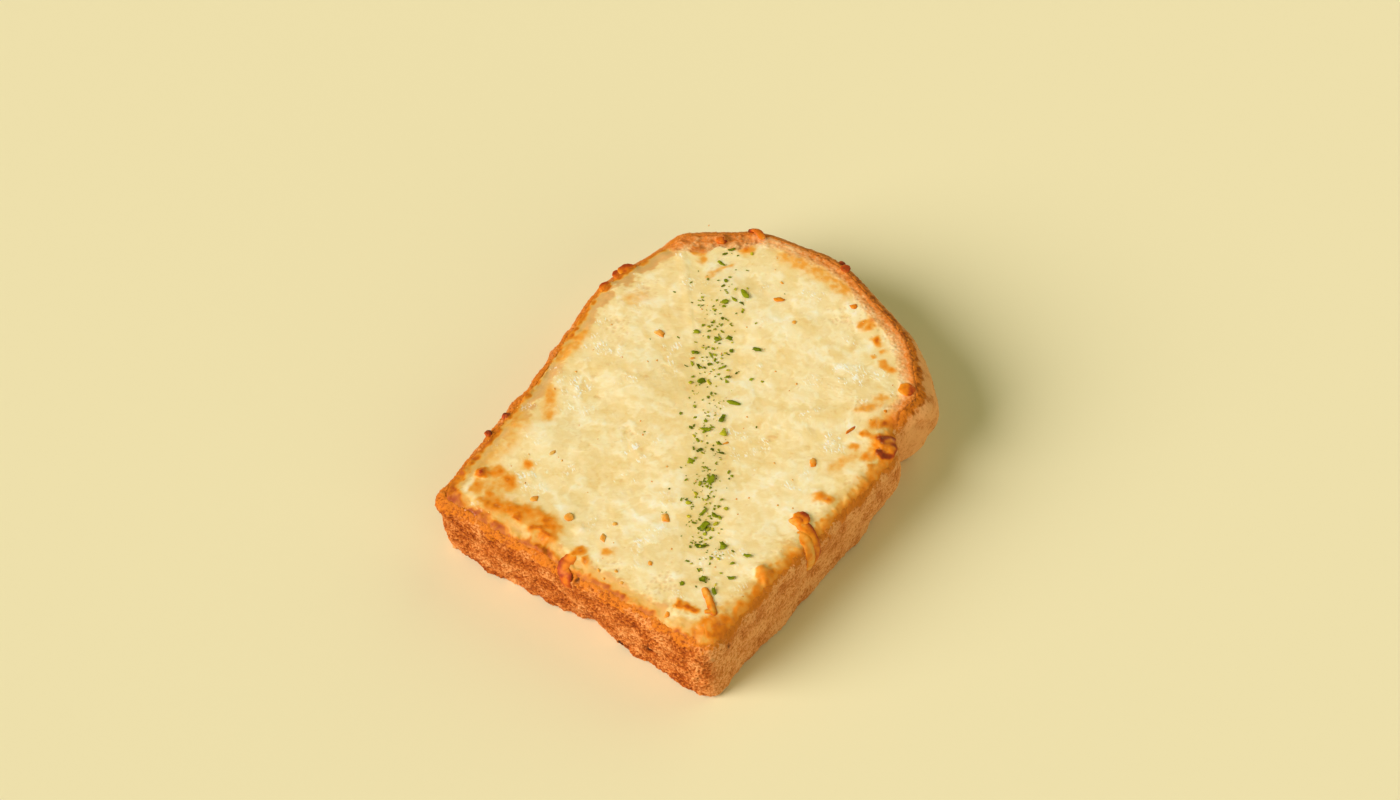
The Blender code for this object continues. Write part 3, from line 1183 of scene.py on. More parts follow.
@dataclass
class Crust:
    """The brown outer skin of the bread, a closed ring with its grains, its pits and its dark spots, partly
    painted shade.

    The dome is painted paler where it faces away from the key light: painted light on its shaded side.
    """

    loaf: Loaf
    material: Material
    columns: int = 1221
    wall_rows: int = 46
    edge_rows: int = 11
    base_rows: int = 8
    depth: float = 2.6
    inner_rows: int = 5
    inner_drop: float = 0.6
    dome_start: Pair = (14.0, 24.0)
    # The way, away from the key light, in which the dome is painted lighter.
    painted_light_way: Pair = (-0.6, 0.8)
    front_from: float = -60.0
    right_from: float = 40.0

    def profile(self) -> Array:
        """The crust's closed section.

        Returns:
            A row for each point: its inset, its height, and how far it faces outwards and upwards.
        """
        base, edge, top = self.loaf.base_edge, self.loaf.top_edge, self.loaf.thickness
        rows = [(self.depth, 0.0, 0.0, -1.0), (0.5 * (self.depth + base), 0.0, 0.0, -1.0)]
        for angle in np.linspace(0.0, math.pi / 2, self.base_rows + 1):
            sine, cosine = math.sin(angle), math.cos(angle)
            rows.append((base * (1 - sine), base * (1 - cosine), sine, -cosine))
        for height in np.linspace(base, top - edge, self.wall_rows + 1)[1:-1]:
            rows.append((0.0, height, 1.0, 0.0))
        last = math.acos(1 - self.depth / edge)
        for angle in np.linspace(0.0, last, self.edge_rows + 1):
            sine, cosine = math.sin(angle), math.cos(angle)
            rows.append((edge * (1 - cosine), top - edge + edge * sine, cosine, sine))
        for share in np.linspace(0.0, 1.0, self.inner_rows + 2)[1:-1]:
            rows.append((self.depth, (top - self.inner_drop) * (1 - share), 0.0, 0.0))
        return np.array(rows)

    def coarseness(self, outward: Array, spots: Array) -> Array:
        """How coarse the crust is: gritty in front, finer at the sides and smooth round the dome.

        Args:
            outward: How it faces at each point.
            spots: The points of the outline.

        Returns:
            A value from 0 to 1 for each point.
        """
        front, right, left = (facing_side(outward, side) for side in (Side.FRONT, Side.RIGHT, Side.LEFT))
        dome = smooth(spots[:, 1], *self.dome_start)
        sides = np.maximum(0.52 * right, 0.75 * left)
        return np.maximum(front, sides) * (1 - dome) + 0.18 * dome

    def build(self) -> Piece:
        """Build the piece.

        Returns:
            The piece.
        """
        loaf, profile = self.loaf, self.profile()
        mesh = marked_mesh(Mark.PIT, Mark.GRAIN, Mark.GLAZE, Mark.TOAST, Mark.BAKE)
        verts, column, row = rolled_grid(mesh, self.columns, len(profile))
        inset, height, faces_out, faces_up = profile[row % len(profile)].T
        distance = loaf.rim.length * column / self.columns
        spots, outward = loaf.rim.at(distance), loaf.rim.outward(distance)
        push = loaf.crust_offset(spots, height)
        straight = np.column_stack([spots + outward * (push - inset)[:, None], height])
        coarse = self.coarseness(outward, spots)
        near_top = smooth(height, loaf.thickness - 3.4, loaf.thickness - 0.8)
        strength = np.maximum(coarse * (1 - 0.1 * near_top), 0.45 * near_top * loaf.domed(straight))
        strength *= 1 - 0.8 * smooth(inset, 1.2, 2.2) * loaf.domed(straight)
        lumps, grains = ripple(straight, 1.9, 21.0), ripple(straight, 0.75, 23.0)
        ragged = ripple(straight, 3.6, 25.0) * (1 - smooth(height, 1.0, 8.0))
        away, lot = cells(straight, 0.8, 5.0)
        hole = smooth(0.62 - away * (0.9 + 0.7 * lot), 0.0, 0.42)
        relief = strength * (0.12 * lumps + 0.2 * grains - 0.32 * hole + 0.42 * ragged)
        relief += (1 - coarse) * (0.06 * lumps + 0.05 * grains)
        direction = np.column_stack([outward * faces_out[:, None], faces_up])
        places = straight + direction * (relief * np.hypot(faces_out, faces_up))[:, None]
        places[:, 2] = np.maximum(places[:, 2] + loaf.risen(spots, height, inset), 0.0)
        put(mesh, verts, places, self.marks(straight, outward, coarse, grains, hole))
        bmesh.ops.remove_doubles(mesh, verts=mesh.verts, dist=SEAM)
        return finished("crust", mesh, self.material)

    def marks(
        self,
        straight: Array,
        outward: Array,
        coarse: Array,
        grains: Array,
        hole: Array,
    ) -> dict[Mark, Array]:
        """What the crust's finish reads.

        Args:
            straight: The crust's points before its relief.
            outward: How it faces at each point.
            coarse: How coarse it is.
            grains: The relief of its grains.
            hole: Its pits.

        Returns:
            The marks.
        """
        height, top = straight[:, 2], self.loaf.thickness
        uneven, fine = ripple(straight, 5.0, 31.0), ripple(straight, 1.3, 33.0)
        dome = self.loaf.domed(straight)
        # Darker in the holes and where the grains are low: partly the crust's own grain, partly painted shade
        # in its hollows.
        pit = 0.38 - 0.3 * grains + 0.55 * hole + 0.12 * uneven
        pit = pit * (0.3 + 0.7 * coarse) + dome * (0.12 * uneven + 0.1 * fine - 0.1)
        glaze = smooth(height + 1.4 * uneven + 1.1 * fine, top - 4.2, top - 0.6)
        rim_line = dome * smooth(height + 0.3 * uneven + 0.3 * fine, top - 1.8, top - 0.7)
        glaze = glaze * (1 - dome) + 0.75 * rim_line
        pit = pit + rim_line * (0.12 + 0.5 * smooth(fine, 0.1, 0.6) + 0.3 * hole)
        front, left = facing_side(outward, Side.FRONT), facing_side(outward, Side.LEFT)
        glaze *= 1 - 0.3 * left * (1 - dome)
        # Darker on the front and left sides, which face the key light, than on the right side.
        bake = (0.25 + 0.48 * front + 0.4 * left) * (0.92 + 0.08 * smooth(height, 5.0, 19.0)) + 0.5 * rim_line
        bake += (0.22 - 0.12 * dome) * uneven
        # Painted light: less bake and fewer dark pits where the dome faces away from the key light.
        pale = dome * smooth(outward @ self.painted_light_way, 0.5, 0.95)
        bake, pit = bake * (1 - 0.7 * pale), pit * (1 - 0.5 * pale)
        return {
            Mark.PIT: np.clip(pit, 0.0, 1.0),
            Mark.GRAIN: coarse,
            Mark.GLAZE: glaze,
            # The painted dark spots, shade where they sit in dents, ride on TOAST.
            Mark.TOAST: np.clip(self.dark_spots(straight) * (0.75 + 0.35 * fine), 0.0, 1.0),
            Mark.BAKE: np.clip(bake, 0.0, 1.0),
        }

    def dark_spots(self, straight: Array) -> Array:
        """How dark the painted dark spots make the crust, painted shade where they sit in dents.

        Args:
            straight: Its points before its relief.

        Returns:
            A value from 0 to 1 for each point.
        """
        darkness = np.zeros(len(straight))
        in_front, on_right = straight[:, 1] < self.front_from, straight[:, 0] > self.right_from
        for dark_spot in DARK_SPOTS:
            axis, there = (0, in_front) if dark_spot.side is Side.FRONT else (1, on_right)
            near = dark_spot.depth * bell(straight[:, axis] - dark_spot.along, dark_spot.wide)
            darkness = np.maximum(darkness, near * bell(straight[:, 2] - dark_spot.z, dark_spot.tall) * there)
        return darkness


@dataclass
class Crumb:
    """The soft inside of the bread, with its pored cut face below."""

    loaf: Loaf
    material: Material
    half: int = 110
    inset: float = 2.3
    core_inset: float = 5.0
    core_low: float = 3.0
    core_sunk: float = 2.0
    lift: float = 0.02
    pore_depth: float = 0.9
    centre: Pair = (0.0, -2.0)

    def pored(self, places: Array) -> Array:
        """The crumb's pores, wide and small.

        Args:
            places: The points of its cut face.

        Returns:
            How much each point is inside a pore.
        """
        wide, lot = cells(places, 3.4, 41.0)
        small, share = cells(places, 1.3, 43.0)
        big = smooth(0.5 * lot - wide * 0.8 + 0.14, 0.0, 0.2)
        little = smooth(0.42 * share - small * 0.8 + 0.16, 0.0, 0.25)
        return np.maximum(0.95 * big, 0.6 * little)

    def core(self, height: float, distance: Array) -> Array:
        """The ring of the hidden core at a height, for distances along the rim."""
        ring = self.loaf.rim.at(distance) - self.loaf.rim.outward(distance) * self.core_inset
        return np.column_stack([ring, np.full(len(ring), height)])

    def build(self) -> Piece:
        """Build the piece.

        Returns:
            The piece.
        """
        loaf = self.loaf
        sheet = SquareSheet(loaf.rim, self.half, Mark.PIT, Mark.TOAST)
        spots, outward = loaf.rim.at(sheet.distance), loaf.rim.outward(sheet.distance)
        heights = np.zeros(len(spots))
        rim = spots + outward * (loaf.crust_offset(spots, heights) - self.inset)[:, None]
        scale = 1 - sheet.level / self.half
        centre = np.array(self.centre)
        places = np.column_stack([centre + (rim - centre) * scale[:, None], heights])
        pit = self.pored(places)
        toast = 0.52 + 0.24 * ripple(places, 16.0, 45.0)
        places[:, 2] = self.lift + self.pore_depth * pit * (sheet.level > 0)
        sheet.shape(places, {Mark.PIT: pit, Mark.TOAST: np.clip(toast, 0.0, 1.0)})
        heights = (self.core_low, loaf.thickness - self.core_sunk)
        sheet.close([partial(self.core, height) for height in heights])
        return finished("bread_crumb", sheet.mesh, self.material)


# The larger browned knobs, from the near left round to the front.
KNOBS = tuple(Knob(*row) for row in (
    (-49.1, -40.7, 1.3, 1, 0.84, (0.2, 0.2), True),
    (-48.4, -32.7, 1.5, 1, 0.8, (-0.3, 0.2), True),
    (-52, 23.4, 2.2, 0.6, 0.62, (-0.5, 0.3), True),
    (-50.3, 32.9, 2.8, 0.7, 0.6, (-0.6, 0.5), True),
    (-51.5, 29.9, 2.2, 0.6, 0.64, (-0.6, 0.2), True),
    (-32.5, 57.6, 1.9, 1.3, 0.72, (0.3, 0.6), True),
    (2.6, 70.2, 1.5, 0.9, 0.82, (0.2, 0.2), True),
    (5, 68.6, 1.9, 0.6, 0.74, (0.2, 0.2), True),
    (44.9, 38.8, 2.5, 0.8, 0.54, (0.9, 0.5), True),
    (50.4, 19, 3.2, 0.8, 0.5),
    (44.3, -17.8, 2.7, 1, 0.56, (0.3, 0.8), True),
    (45.6, -39.6, 2.7, 1.4, 0.42),
    (-41.1, -54.9, 2.5, 0.8, 0.62),
    (-40.8, -55.2, 1, 0.3, 0.82),
    (-11.8, -67, 1.7, 0.6, 0.62),
))

# The marks on the cheese: its browned edge and corners, the spots along it, and one milky spot.
STROKES = tuple(Stroke(*row) for row in (
    (((-48.6, -40), (-47.6, -50), (-46.6, -64)), 2.4, 0, 0.42),
    (((-46.4, -65.4), (-38, -67.4), (-26, -68)), 2.2, 0, 0.42),
    (((-40, -55.5), (-36, -56.5), (-33, -55)), 3.4, 0, 0.16),
    (((-31, -61), (-22, -60), (-13, -61.5)), 4, 0.1, 0.2),
    (((-37.1, -51.4), (-39.6, -53.4)), 2, 0.15, 0.38),
    (((-39.9, -58.4), (-38.8, -60.6)), 1.7, 0.1, 0.34),
    (((-32.1, -53.4), (-33.8, -52.2)), 2.3, 0.05, 0.3),
    (((-34.6, -59.7), (-35.4, -58.6)), 1.6, 0.05, 0.28),
    (((-36, -62), (-33, -62.6)), 1.5, 0.05, 0.26),
    (((-31.4, -62.6), (-29.6, -60.9), (-26.6, -61), (-22.2, -61.4)), 1.9, 0.2, 0.36),
    (
        ((-26, -59.4), (-22.4, -57.9), (-18.3, -57.6), (-14.6, -58.2), (-11.8, -60), (-11.5, -62.2)),
        2.1, 0.25, 0.35,
    ),
    (((-24.6, -62.4), (-21.6, -62.2)), 1.2, 0.15, 0.56),
    (((-18, -63.2), (-15.6, -61.6), (-12.6, -63), (-12.4, -65.7), (-14.4, -66.4)), 1.3, 0.3, 0.5),
    (((-14.6, -64),), 1.2, 0.1, 0.34),
    (((-13, -66.6), (-10.4, -67.6)), 1.4, 0.3, 0.6),
    (((-8.8, -66.8), (-5.2, -67.4)), 1.2, 0.1, 0.4),
    (((-1.6, -61.6), (-2.8, -63.8), (-3, -66)), 1.5, 0.1, 0.42),
    (((0.9, -63), (2.4, -64.8)), 1.1, 0.15, 0.4),
    (((31.3, -61.4), (36.5, -60.7)), 1.2, 0.3, 0.48),
    (((43, -55), (41, -58)), 2.4, 0, 0.14),
    (((-42.5, -52), (-41.5, -42), (-42.5, -33)), 3, 0, 0.1),
    (((-12, 63), (2, 63.5), (10, 61.6)), 3.2, 0, 0.18),
    (((22, 57), (25, 56)), 2, 0, 0.14),
    (((44.5, 9.5), (42.5, 3)), 2.4, 0, 0.12),
    (((43.4, 18.7), (45.6, 18.4), (47.7, 18.8)), 1.4, 0.15, 0.42),
    (((47.7, 18.8), (48.9, 21), (50.7, 22.4)), 1.7, 0.3, 0.72),
    (((43.2, 12.3),), 1.3, 0.05, 0.4),
    (((48.8, 14.4), (48.2, 11.6)), 1.8, 0.1, 0.34),
    (((50.7, 22.4), (52.2, 21.6), (53.4, 20), (53.8, 18)), 1.6, 0.7, 0.84),
    (((49.4, 14.9), (52, 15.3), (53.6, 16.8)), 1.6, 0.3, 0.76),
    (((48.6, 17.6), (51.6, 18.8)), 2.4, 0.1, 0.46),
    (((46.9, -7.8), (44.2, -8.6)), 1.7, 0.3, 0.4),
    (((30.1, 44.5),), 0.9, 0.05, 0.32),
    (((31.2, 47.6),), 0.9, 0.05, 0.32),
    (((27.2, 50.5), (28.6, 49.6)), 1.3, 0.1, 0.32),
    (((22.3, 55.9), (20.8, 52.2), (23, 53.5)), 1.4, 0.1, 0.32),
    (((34, 43.8), (37.2, 42.7)), 1.4, 0.1, 0.32),
    (((37.5, 25.5), (40.4, 28.7), (40.7, 32.1)), 1.8, 0, 0.2),
    (((46, 25.6), (43.4, 22.4)), 1.9, 0, 0.4),
    (((-24.1, 59.1),), 2.4, 0.05, 0.4),
    (((-37.1, 50.5), (-35.4, 51)), 1.6, 0.1, 0.5),
    (((-24.4, 51.2), (-27.6, 45.7), (-27.6, 43.7)), 0.9, 0, 0.2),
    (((-33.1, 48.6),), 1.6, -0.1, 0.24),
    (((-40.2, 26.1), (-42, 23.4)), 2.4, 0, 0.08),
    (((-46.6, 4.1), (-47.2, -6.1)), 2.2, 0, 0.26),
    (((-42, -18.9), (-37.5, -27.2)), 2, 0, 0.2),
    (((-32, -45),), 1.8, 0.05, 0.34),
    (((5.4, -58),), 1.8, 0.05, 0.3),
    (((-45.8, -31), (-44.6, -35)), 1.6, 0.05, 0.26),
    (((-45.2, -63.4), (-42.4, -64.8)), 1.6, 0.1, 0.5),
    (((40.6, -66.2), (44, -65.4), (45, -62), (45.4, -58)), 2.4, 0, 0.38),
    (((41.4, -62.8), (42.8, -60.8)), 2, 0, 0.36),
    (((-5.5, -55.8),), 1.9, 0.35, 0, 0.8),
))

# The y past which the bread's toasted left shoulder lies bare, for each x.
SHOULDER_X = (-60, -46, -42.4, -38, -34.8, -33.2, -32.4, -29.1, -24.1, -21.5, -20.5)
SHOULDER_Y = (46, 46.7, 46.1, 48.4, 50.5, 52.2, 55.1, 55.6, 59.1, 64.8, 90)
# How wide the bare rim round the dome is, and how much of that is baked, for each x.
BREAD_X = (-22, 8, 20, 50)
BREAD_WIDTH = (6.2, 6, 7.2, 6.8)
BAKED_WIDTH = (6, 5.4, 4.8, 4.6)

# How wide the toasted band along a side is: the axis it is given along, places on that and the widths.
BANDS = {
    Side.FRONT: (0, (-40, -8, 20, 36), (4.8, 3.6, 2.8, 3.5)),
    Side.RIGHT: (1, (-60, -35, -5, 8), (3.4, 4.8, 3.8, 4.2)),
    Side.BACK: (0, (0, 1), (2.6, 2.6)),
    Side.LEFT: (1, (-50, -25, -5, 12), (5, 4, 3.3, 4)),
}

# Patches of cheese with more pores: x, y and spread.
POROUS = (
    (-41.4, 28.6, 4.5),
    (-27.5, 49, 4),
    (14, 52, 5),
    (-40, 12, 4),
    (24, -58, 5),
    (38, 26, 4),
)

# Wet patches, glossy and with painted glints: x, y and spread.
GLINTS = (
    (-36, -16, 6),
    (-38, 2, 5),
    (27, 34, 5.5),
    (33, -42, 6),
    (-30, -48, 5),
    (36, 10, 5),
    (-10, -24, 4.5),
    (4, 2, 4),
)


@dataclass
class Lie:
    """How the cheese's points lie on the bread, with a row or a value for each of them.

    These are the point seen from above, its distances from the cheese's lip and from the bread's edge, which
    way the edge faces, how much the bread rises there, and how much the point belongs to the dome.
    """

    ground: Array
    from_lip: Array
    from_edge: Array
    outward: Array
    risen: Array
    domed: Array


@dataclass(frozen=True)
class Strip:
    """The bowed strip along which the parsley is strewn."""

    start: Pair = (-29.0, 56.0)
    end: Pair = (36.0, -54.0)
    bow: float = 3.0
    width: float = 6.5

    def run(self) -> Array:
        """The way from its start to its end."""
        return np.array(self.end) - np.array(self.start)

    def sideways(self) -> Array:
        """The way across it."""
        along = self.run() / np.linalg.norm(self.run())
        return np.array((-along[1], along[0]))

    def spot(self, share: float, off: float) -> Array:
        """The spot at a share of its length, so far to its side."""
        return np.array(self.start) + self.run() * share + self.sideways() * off

    def crowd(self, spots: Array) -> Array:
        """How thick the parsley lies, which tints the cheese under it.

        Args:
            spots: Points seen from above.

        Returns:
            A value from 0 to 1 for each spot.
        """
        y, start, end = spots[:, 1], self.start[1], self.end[1]
        bow = self.bow * np.sin(np.clip((y - end) / (start - end), 0.0, 1.0) * math.pi)
        off = (spots - np.array(self.start)) @ self.sideways() + bow
        dense = 0.45 + 0.55 * np.maximum(bell(y + 28.0, 16.0), 0.8 * bell(y - 22.0, 22.0))
        ends = smooth(y, -52.0, -40.0) * (1 - smooth(y, 44.0, 58.0))
        return bell(off, self.width) * dense * ends


@dataclass
class CheeseSkin:
    """The skin of the melted cheese, worked out in steps, with a value for each point of the sheet.

    Its full thickness, its film round the dome and its lip are in millimetres, like its two shoulders, over
    which it thins out towards the lip.
    """

    lie: Lie
    shreds: int = 300
    lumps: int = 150
    blisters: int = 90
    seed: int = 5
    least: Pair = (-50.0, -68.0)
    most: Pair = (52.0, 68.0)
    full: float = 1.9
    film: float = 0.3
    lip: float = 0.16
    shoulder: float = 5.2
    film_shoulder: float = 1.2
    darkest: float = 0.82

    def __post_init__(self) -> None:
        """Work out the unevenness and the sides that the steps share, then take the steps in turn."""
        ground = self.lie.ground
        self.random = np.random.default_rng(self.seed)
        self.spots = ground[:, :2]
        self.lump, self.wander = ripple(ground, 7.0, 13.0), ripple(ground, 6.0, 51.0)
        self.fine, self.grit = ripple(ground, 1.6, 53.0), ripple(ground, 0.8, 55.0)
        drift = np.column_stack([ripple(ground, 2.6, 63.0), ripple(ground, 2.6, 65.0)])
        self.drift = drift + 0.4 * np.column_stack([self.fine, self.grit])
        self.warped = self.spots + 0.5 * self.drift
        outward = self.lie.outward
        self.front, self.right, self.left = (
            facing_side(outward, side) for side in (Side.FRONT, Side.RIGHT, Side.LEFT)
        )
        self.lit = np.minimum(self.front + self.left, 1.0)
        widths = [(side, np.interp(self.spots[:, axis], *width)) for side, (axis, *width) in BANDS.items()]
        self.band = by_side(outward, widths) + 0.9 * self.wander + 0.4 * self.fine + 0.25 * self.grit
        self.show_bread()
        self.melt()
        self.toast_rim()
        self.bake_bread()
        self.brush()
        self.raise_knobs()
        self.open_pores()
        self.wet_down()

    def show_bread(self) -> None:
        """Let bread show through the film round the dome and at its bare left shoulder."""
        uneven = 0.6 * self.wander + 0.4 * self.fine
        x, y = self.spots.T
        self.bare = smooth(y - np.interp(x, SHOULDER_X, SHOULDER_Y) + 0.8 * uneven, -0.6, 0.8)
        width = np.interp(x, BREAD_X, BREAD_WIDTH)
        along_rim = self.lie.domed * (1 - smooth(self.lie.from_edge + uneven, width - 1.0, width + 1.2))
        self.bread = np.maximum(self.bare, along_rim)

    def strew_shreds(self) -> None:
        """Melt long, bent shreds of cheese into the sheet."""
        random = self.random
        for _ in range(self.shreds):
            middle = random.uniform(self.least, self.most)
            heading = math.radians(random.normal(8.0, 32.0))
            long, bend = random.uniform(3.5, 10.0), random.normal(0.0, 0.35)
            width, tall = random.uniform(0.7, 1.6), random.uniform(0.01, 0.06)
            pale = random.uniform(-0.3, 0.35)
            steps = np.linspace(-1.0, 1.0, 5)
            turns = heading + bend * steps
            path = middle + long * steps[:, None] * np.stack([np.cos(turns), np.sin(turns)], axis=-1)
            near = np.hypot(*(self.spots - middle).T) < long + 3 * width
            hill = bell(path_distance(self.spots[near], path), width)
            self.relief[near] = np.maximum(self.relief[near], tall * hill)
            self.milk[near] += pale * hill * (1 - 0.5 * np.abs(self.milk[near]))

    def strew_lumps(self) -> None:
        """Melt short, flat lumps of cheese into the sheet."""
        random = self.random
        for _ in range(self.lumps):
            middle = random.uniform(self.least, self.most)
            width, tall = random.uniform(0.7, 2.9), random.uniform(0.0, 0.05)
            pale = random.uniform(-0.2, 0.45)
            away = self.spots - middle
            angle, squeeze = random.uniform(0.0, math.pi), random.uniform(0.5, 1.0)
            along = away @ np.array((math.cos(angle), math.sin(angle)))
            across = away @ np.array((-math.sin(angle), math.cos(angle))) / squeeze
            hill = np.exp(-((np.hypot(along, across) / width) ** 4))
            self.relief += tall * hill
            self.milk += pale * hill

    def blistered(self) -> Array:
        """Raise small burst bubbles: a ring round a shallow hollow.

        Returns:
            Their relief in millimetres.
        """
        relief = np.zeros(len(self.spots))
        for _ in range(self.blisters):
            middle = self.random.uniform((-48.0, -66.0), (50.0, 66.0))
            size, tall = self.random.uniform(0.4, 1.5), self.random.uniform(0.01, 0.05)
            near = np.hypot(*(self.spots - middle).T) < 4 * size
            away = np.hypot(*(self.spots[near] - middle).T)
            relief[near] += tall * bell(away - size, 0.35 * size) - 1.3 * tall * bell(away, 0.6 * size)
        return relief

    def melt(self) -> None:
        """Lay the melted cheese, wavy and curdled, and thin it out towards its lip."""
        lie, ground = self.lie, self.lie.ground
        swell = ripple(ground, 21.0, 11.0)
        crumpled = np.column_stack([self.spots + 1.6 * self.drift, 0 * swell])
        curd = smooth(ripple(crumpled, 5.5, 67.0), -0.4, 0.6)
        small_curd = smooth(ripple(crumpled, 2.4, 69.0), -0.3, 0.6)
        self.relief, self.milk = np.zeros(len(ground)), np.zeros(len(ground))
        self.strew_shreds()
        self.strew_lumps()
        relief = self.relief + self.blistered() + 0.35 * swell + 0.07 * self.lump
        relief += 0.02 * ripple(ground, 2.2, 15.0) + 0.05 * curd + 0.025 * small_curd
        milk = self.milk + 0.3 * (curd - 0.5) + 0.26 * (small_curd - 0.5) + 0.1 * swell
        self.milk = np.where(milk < 0, 0.3 * np.tanh(milk / 0.3), milk)
        shoulder = self.shoulder + (self.film_shoulder - self.shoulder) * lie.domed
        round_in = smooth(lie.from_lip / shoulder, 0.0, 1.0) ** 0.8
        full = np.maximum(self.full - lie.risen, self.film) + relief * smooth(lie.from_lip, 0.5, 4.0)
        self.thickness = self.lip + (full - self.lip) * round_in

    def toast_rim(self) -> None:
        """Toast the band along the rim, take its milkiness and raise its nubs. On the front and left, which
        face the key light, the band is browner and less milky, painted shade, and on the right, in shade,
        less brown, painted light.
        """
        lie, edge, band, fine = self.lie, self.lie.from_edge, self.band, self.fine
        front, right, left = self.front, self.right, self.left
        near_band = 1 - smooth(edge, band - 0.6, band + 4.8)
        # Painted shade and light: browner on the lit front and left, less brown on the shaded right.
        rim_band = 0.48 + 0.1 * front + 0.05 * left - 0.08 * right + 0.1 * fine
        rim_band *= 1 - smooth(edge, band - 1.6, band + 0.8)
        self.toast = (rim_band**4 + ((0.16 + 0.1 * front - 0.03 * left) * near_band) ** 4) ** 0.25
        self.toast += (0.14 - 0.08 * front) * (1 - smooth(edge + 0.5 * fine + 0.4 * self.grit, 0.4, 2.8))
        # Less milky near the rim, and more so on the lit front and left: painted shade over the cheese's
        # clearer edge.
        self.milk = self.milk - (0.2 + 0.5 * front + 0.75 * left) * (1 - smooth(edge, band - 0.6, band + 6.0))
        nubs = smooth(ripple(lie.ground, 2.4, 77.0), 0.1, 0.8) + 1.4 * left * smooth(self.lump, 0.0, 0.9)
        nubs *= (1 - smooth(edge, 2.6, 4.6)) * (1 - lie.domed)
        self.thickness += 0.3 * nubs * smooth(lie.from_lip, 0.2, 1.0)

    def bake_bread(self) -> None:
        """Toast the bread that shows, most of all along its edge, and less at the back left, which is painted
        light.
        """
        x, fine, wander = self.spots[:, 0], self.fine, self.wander
        edge = self.lie.from_edge + 0.4 * fine + 0.3 * self.grit + 0.4 * wander
        width = np.interp(x, BREAD_X, BAKED_WIDTH)
        # Painted light: the back left edge faces away from the key light and is toasted less.
        lightened_behind = smooth(self.lie.outward @ np.array(Side.BACK.value), 0.75, 0.97)
        lightened_behind *= 1 - smooth(x, -14.0, -2.0)
        baked = 0.24 - 0.04 * lightened_behind + 0.04 * self.bare + 0.1 * wander + 0.1 * fine
        baked += (0.42 - 0.12 * lightened_behind) * (1 - smooth(edge, 1.7, 3.6))
        baked += (0.32 - 0.24 * lightened_behind) * (1 - smooth(edge, width - 1.4, width + 1.4))
        self.toast = self.toast * (1 - self.bread) + baked * self.bread

    def brush(self) -> None:
        """Lay on the browned and milky marks, and hold the browning back on the lit sides."""
        for stroke in STROKES:
            away = path_distance(self.warped, stroke.path)
            hill = np.exp(-((away / stroke.width) ** 2.4))
            stain = stroke.toast * hill * (1 + 0.26 * self.fine + 0.2 * self.wander)
            stain = stain + 0.12 * bell(away, 2.1 * stroke.width)
            self.toast = (self.toast**4 + stain**4) ** 0.25
            self.milk = self.milk + stroke.milk * hill
            self.thickness += stroke.height * bell(away, stroke.width)
        self.toast = np.minimum(self.toast, self.darkest + 0.06 * self.fine - 0.18 * self.lit)

    def raise_knobs(self) -> None:
        """Raise and brown the sheet under the knobs."""
        for knob in KNOBS:
            away = np.hypot(self.warped[:, 0] - knob.x, self.warped[:, 1] - knob.y)
            hill = 1 - smooth(away, 0.2 * knob.radius, 1.25 * knob.radius)
            self.thickness += knob.height * hill
            self.toast = np.maximum(self.toast, knob.toast * smooth(hill, 0.0, 0.6))

    def open_pores(self) -> None:
        """Open pores in the cheese and holes in the bare bread."""
        edge, band, bread = self.lie.from_edge, self.band, self.bread
        small, lot = cells(self.lie.ground, 1.1, 57.0)
        wide, chance = cells(self.lie.ground, 2.6, 59.0)
        porous = 0.5 * (1 - smooth(edge, 5.0, 10.0 + 4.0 * self.wander)) * smooth(edge, band, band + 2.0)
        porous = np.maximum(0.1 + porous, 0.36 * bread)
        for x, y, spread in POROUS:
            patch = bell(np.hypot(self.warped[:, 0] - x, self.warped[:, 1] - y), spread)
            porous = np.maximum(porous, 0.85 * patch)
            self.milk = self.milk + 0.12 * patch
        pit = smooth(0.44 * lot * porous - small * 0.5 + 0.1, 0.0, 0.16)
        hole = self.bare * smooth(0.55 * chance - wide * 0.75 + 0.1, 0.0, 0.2)
        self.pit = np.maximum(pit, hole) * smooth(self.lie.from_lip, 0.4, 2.0)
        self.thickness -= 0.12 * self.pit + 0.3 * hole + bread * (0.08 * self.grit + 0.06 * self.fine)

    def wet_down(self) -> None:
        """Wet the cheese in patches, where fat has run out; the finish paints glints on them."""
        ground = self.lie.ground
        wet = 0.4 * smooth(ripple(ground, 8.0, 61.0), 0.2, 0.9)
        for x, y, spread in GLINTS:
            wet = np.maximum(wet, bell(np.hypot(self.spots[:, 0] - x, self.spots[:, 1] - y), spread))
        self.wet = wet * smooth(ripple(ground, 3.2, 73.0), -0.4, 0.6) * (1 - self.bread)
        self.thickness += 0.05 * self.wet * ripple(ground, 1.2, 75.0)

    def marks(self) -> dict[Mark, Array]:
        """What the cheese's finish reads.

        Returns:
            The marks.
        """
        return {
            Mark.TOAST: np.clip(self.toast, 0.0, 1.0),
            Mark.MILK: np.clip(self.milk, -0.6, 1.0),
            Mark.PIT: self.pit,
            Mark.HERB: Strip().crowd(self.spots),
            Mark.WET: self.wet,
            Mark.GRAIN: self.bread,
            # BAKE here marks the rim of the lit front and left for painted shade.
            Mark.BAKE: self.lit * (1 - smooth(self.lie.from_edge, self.band, self.band + 3.5)),
        }


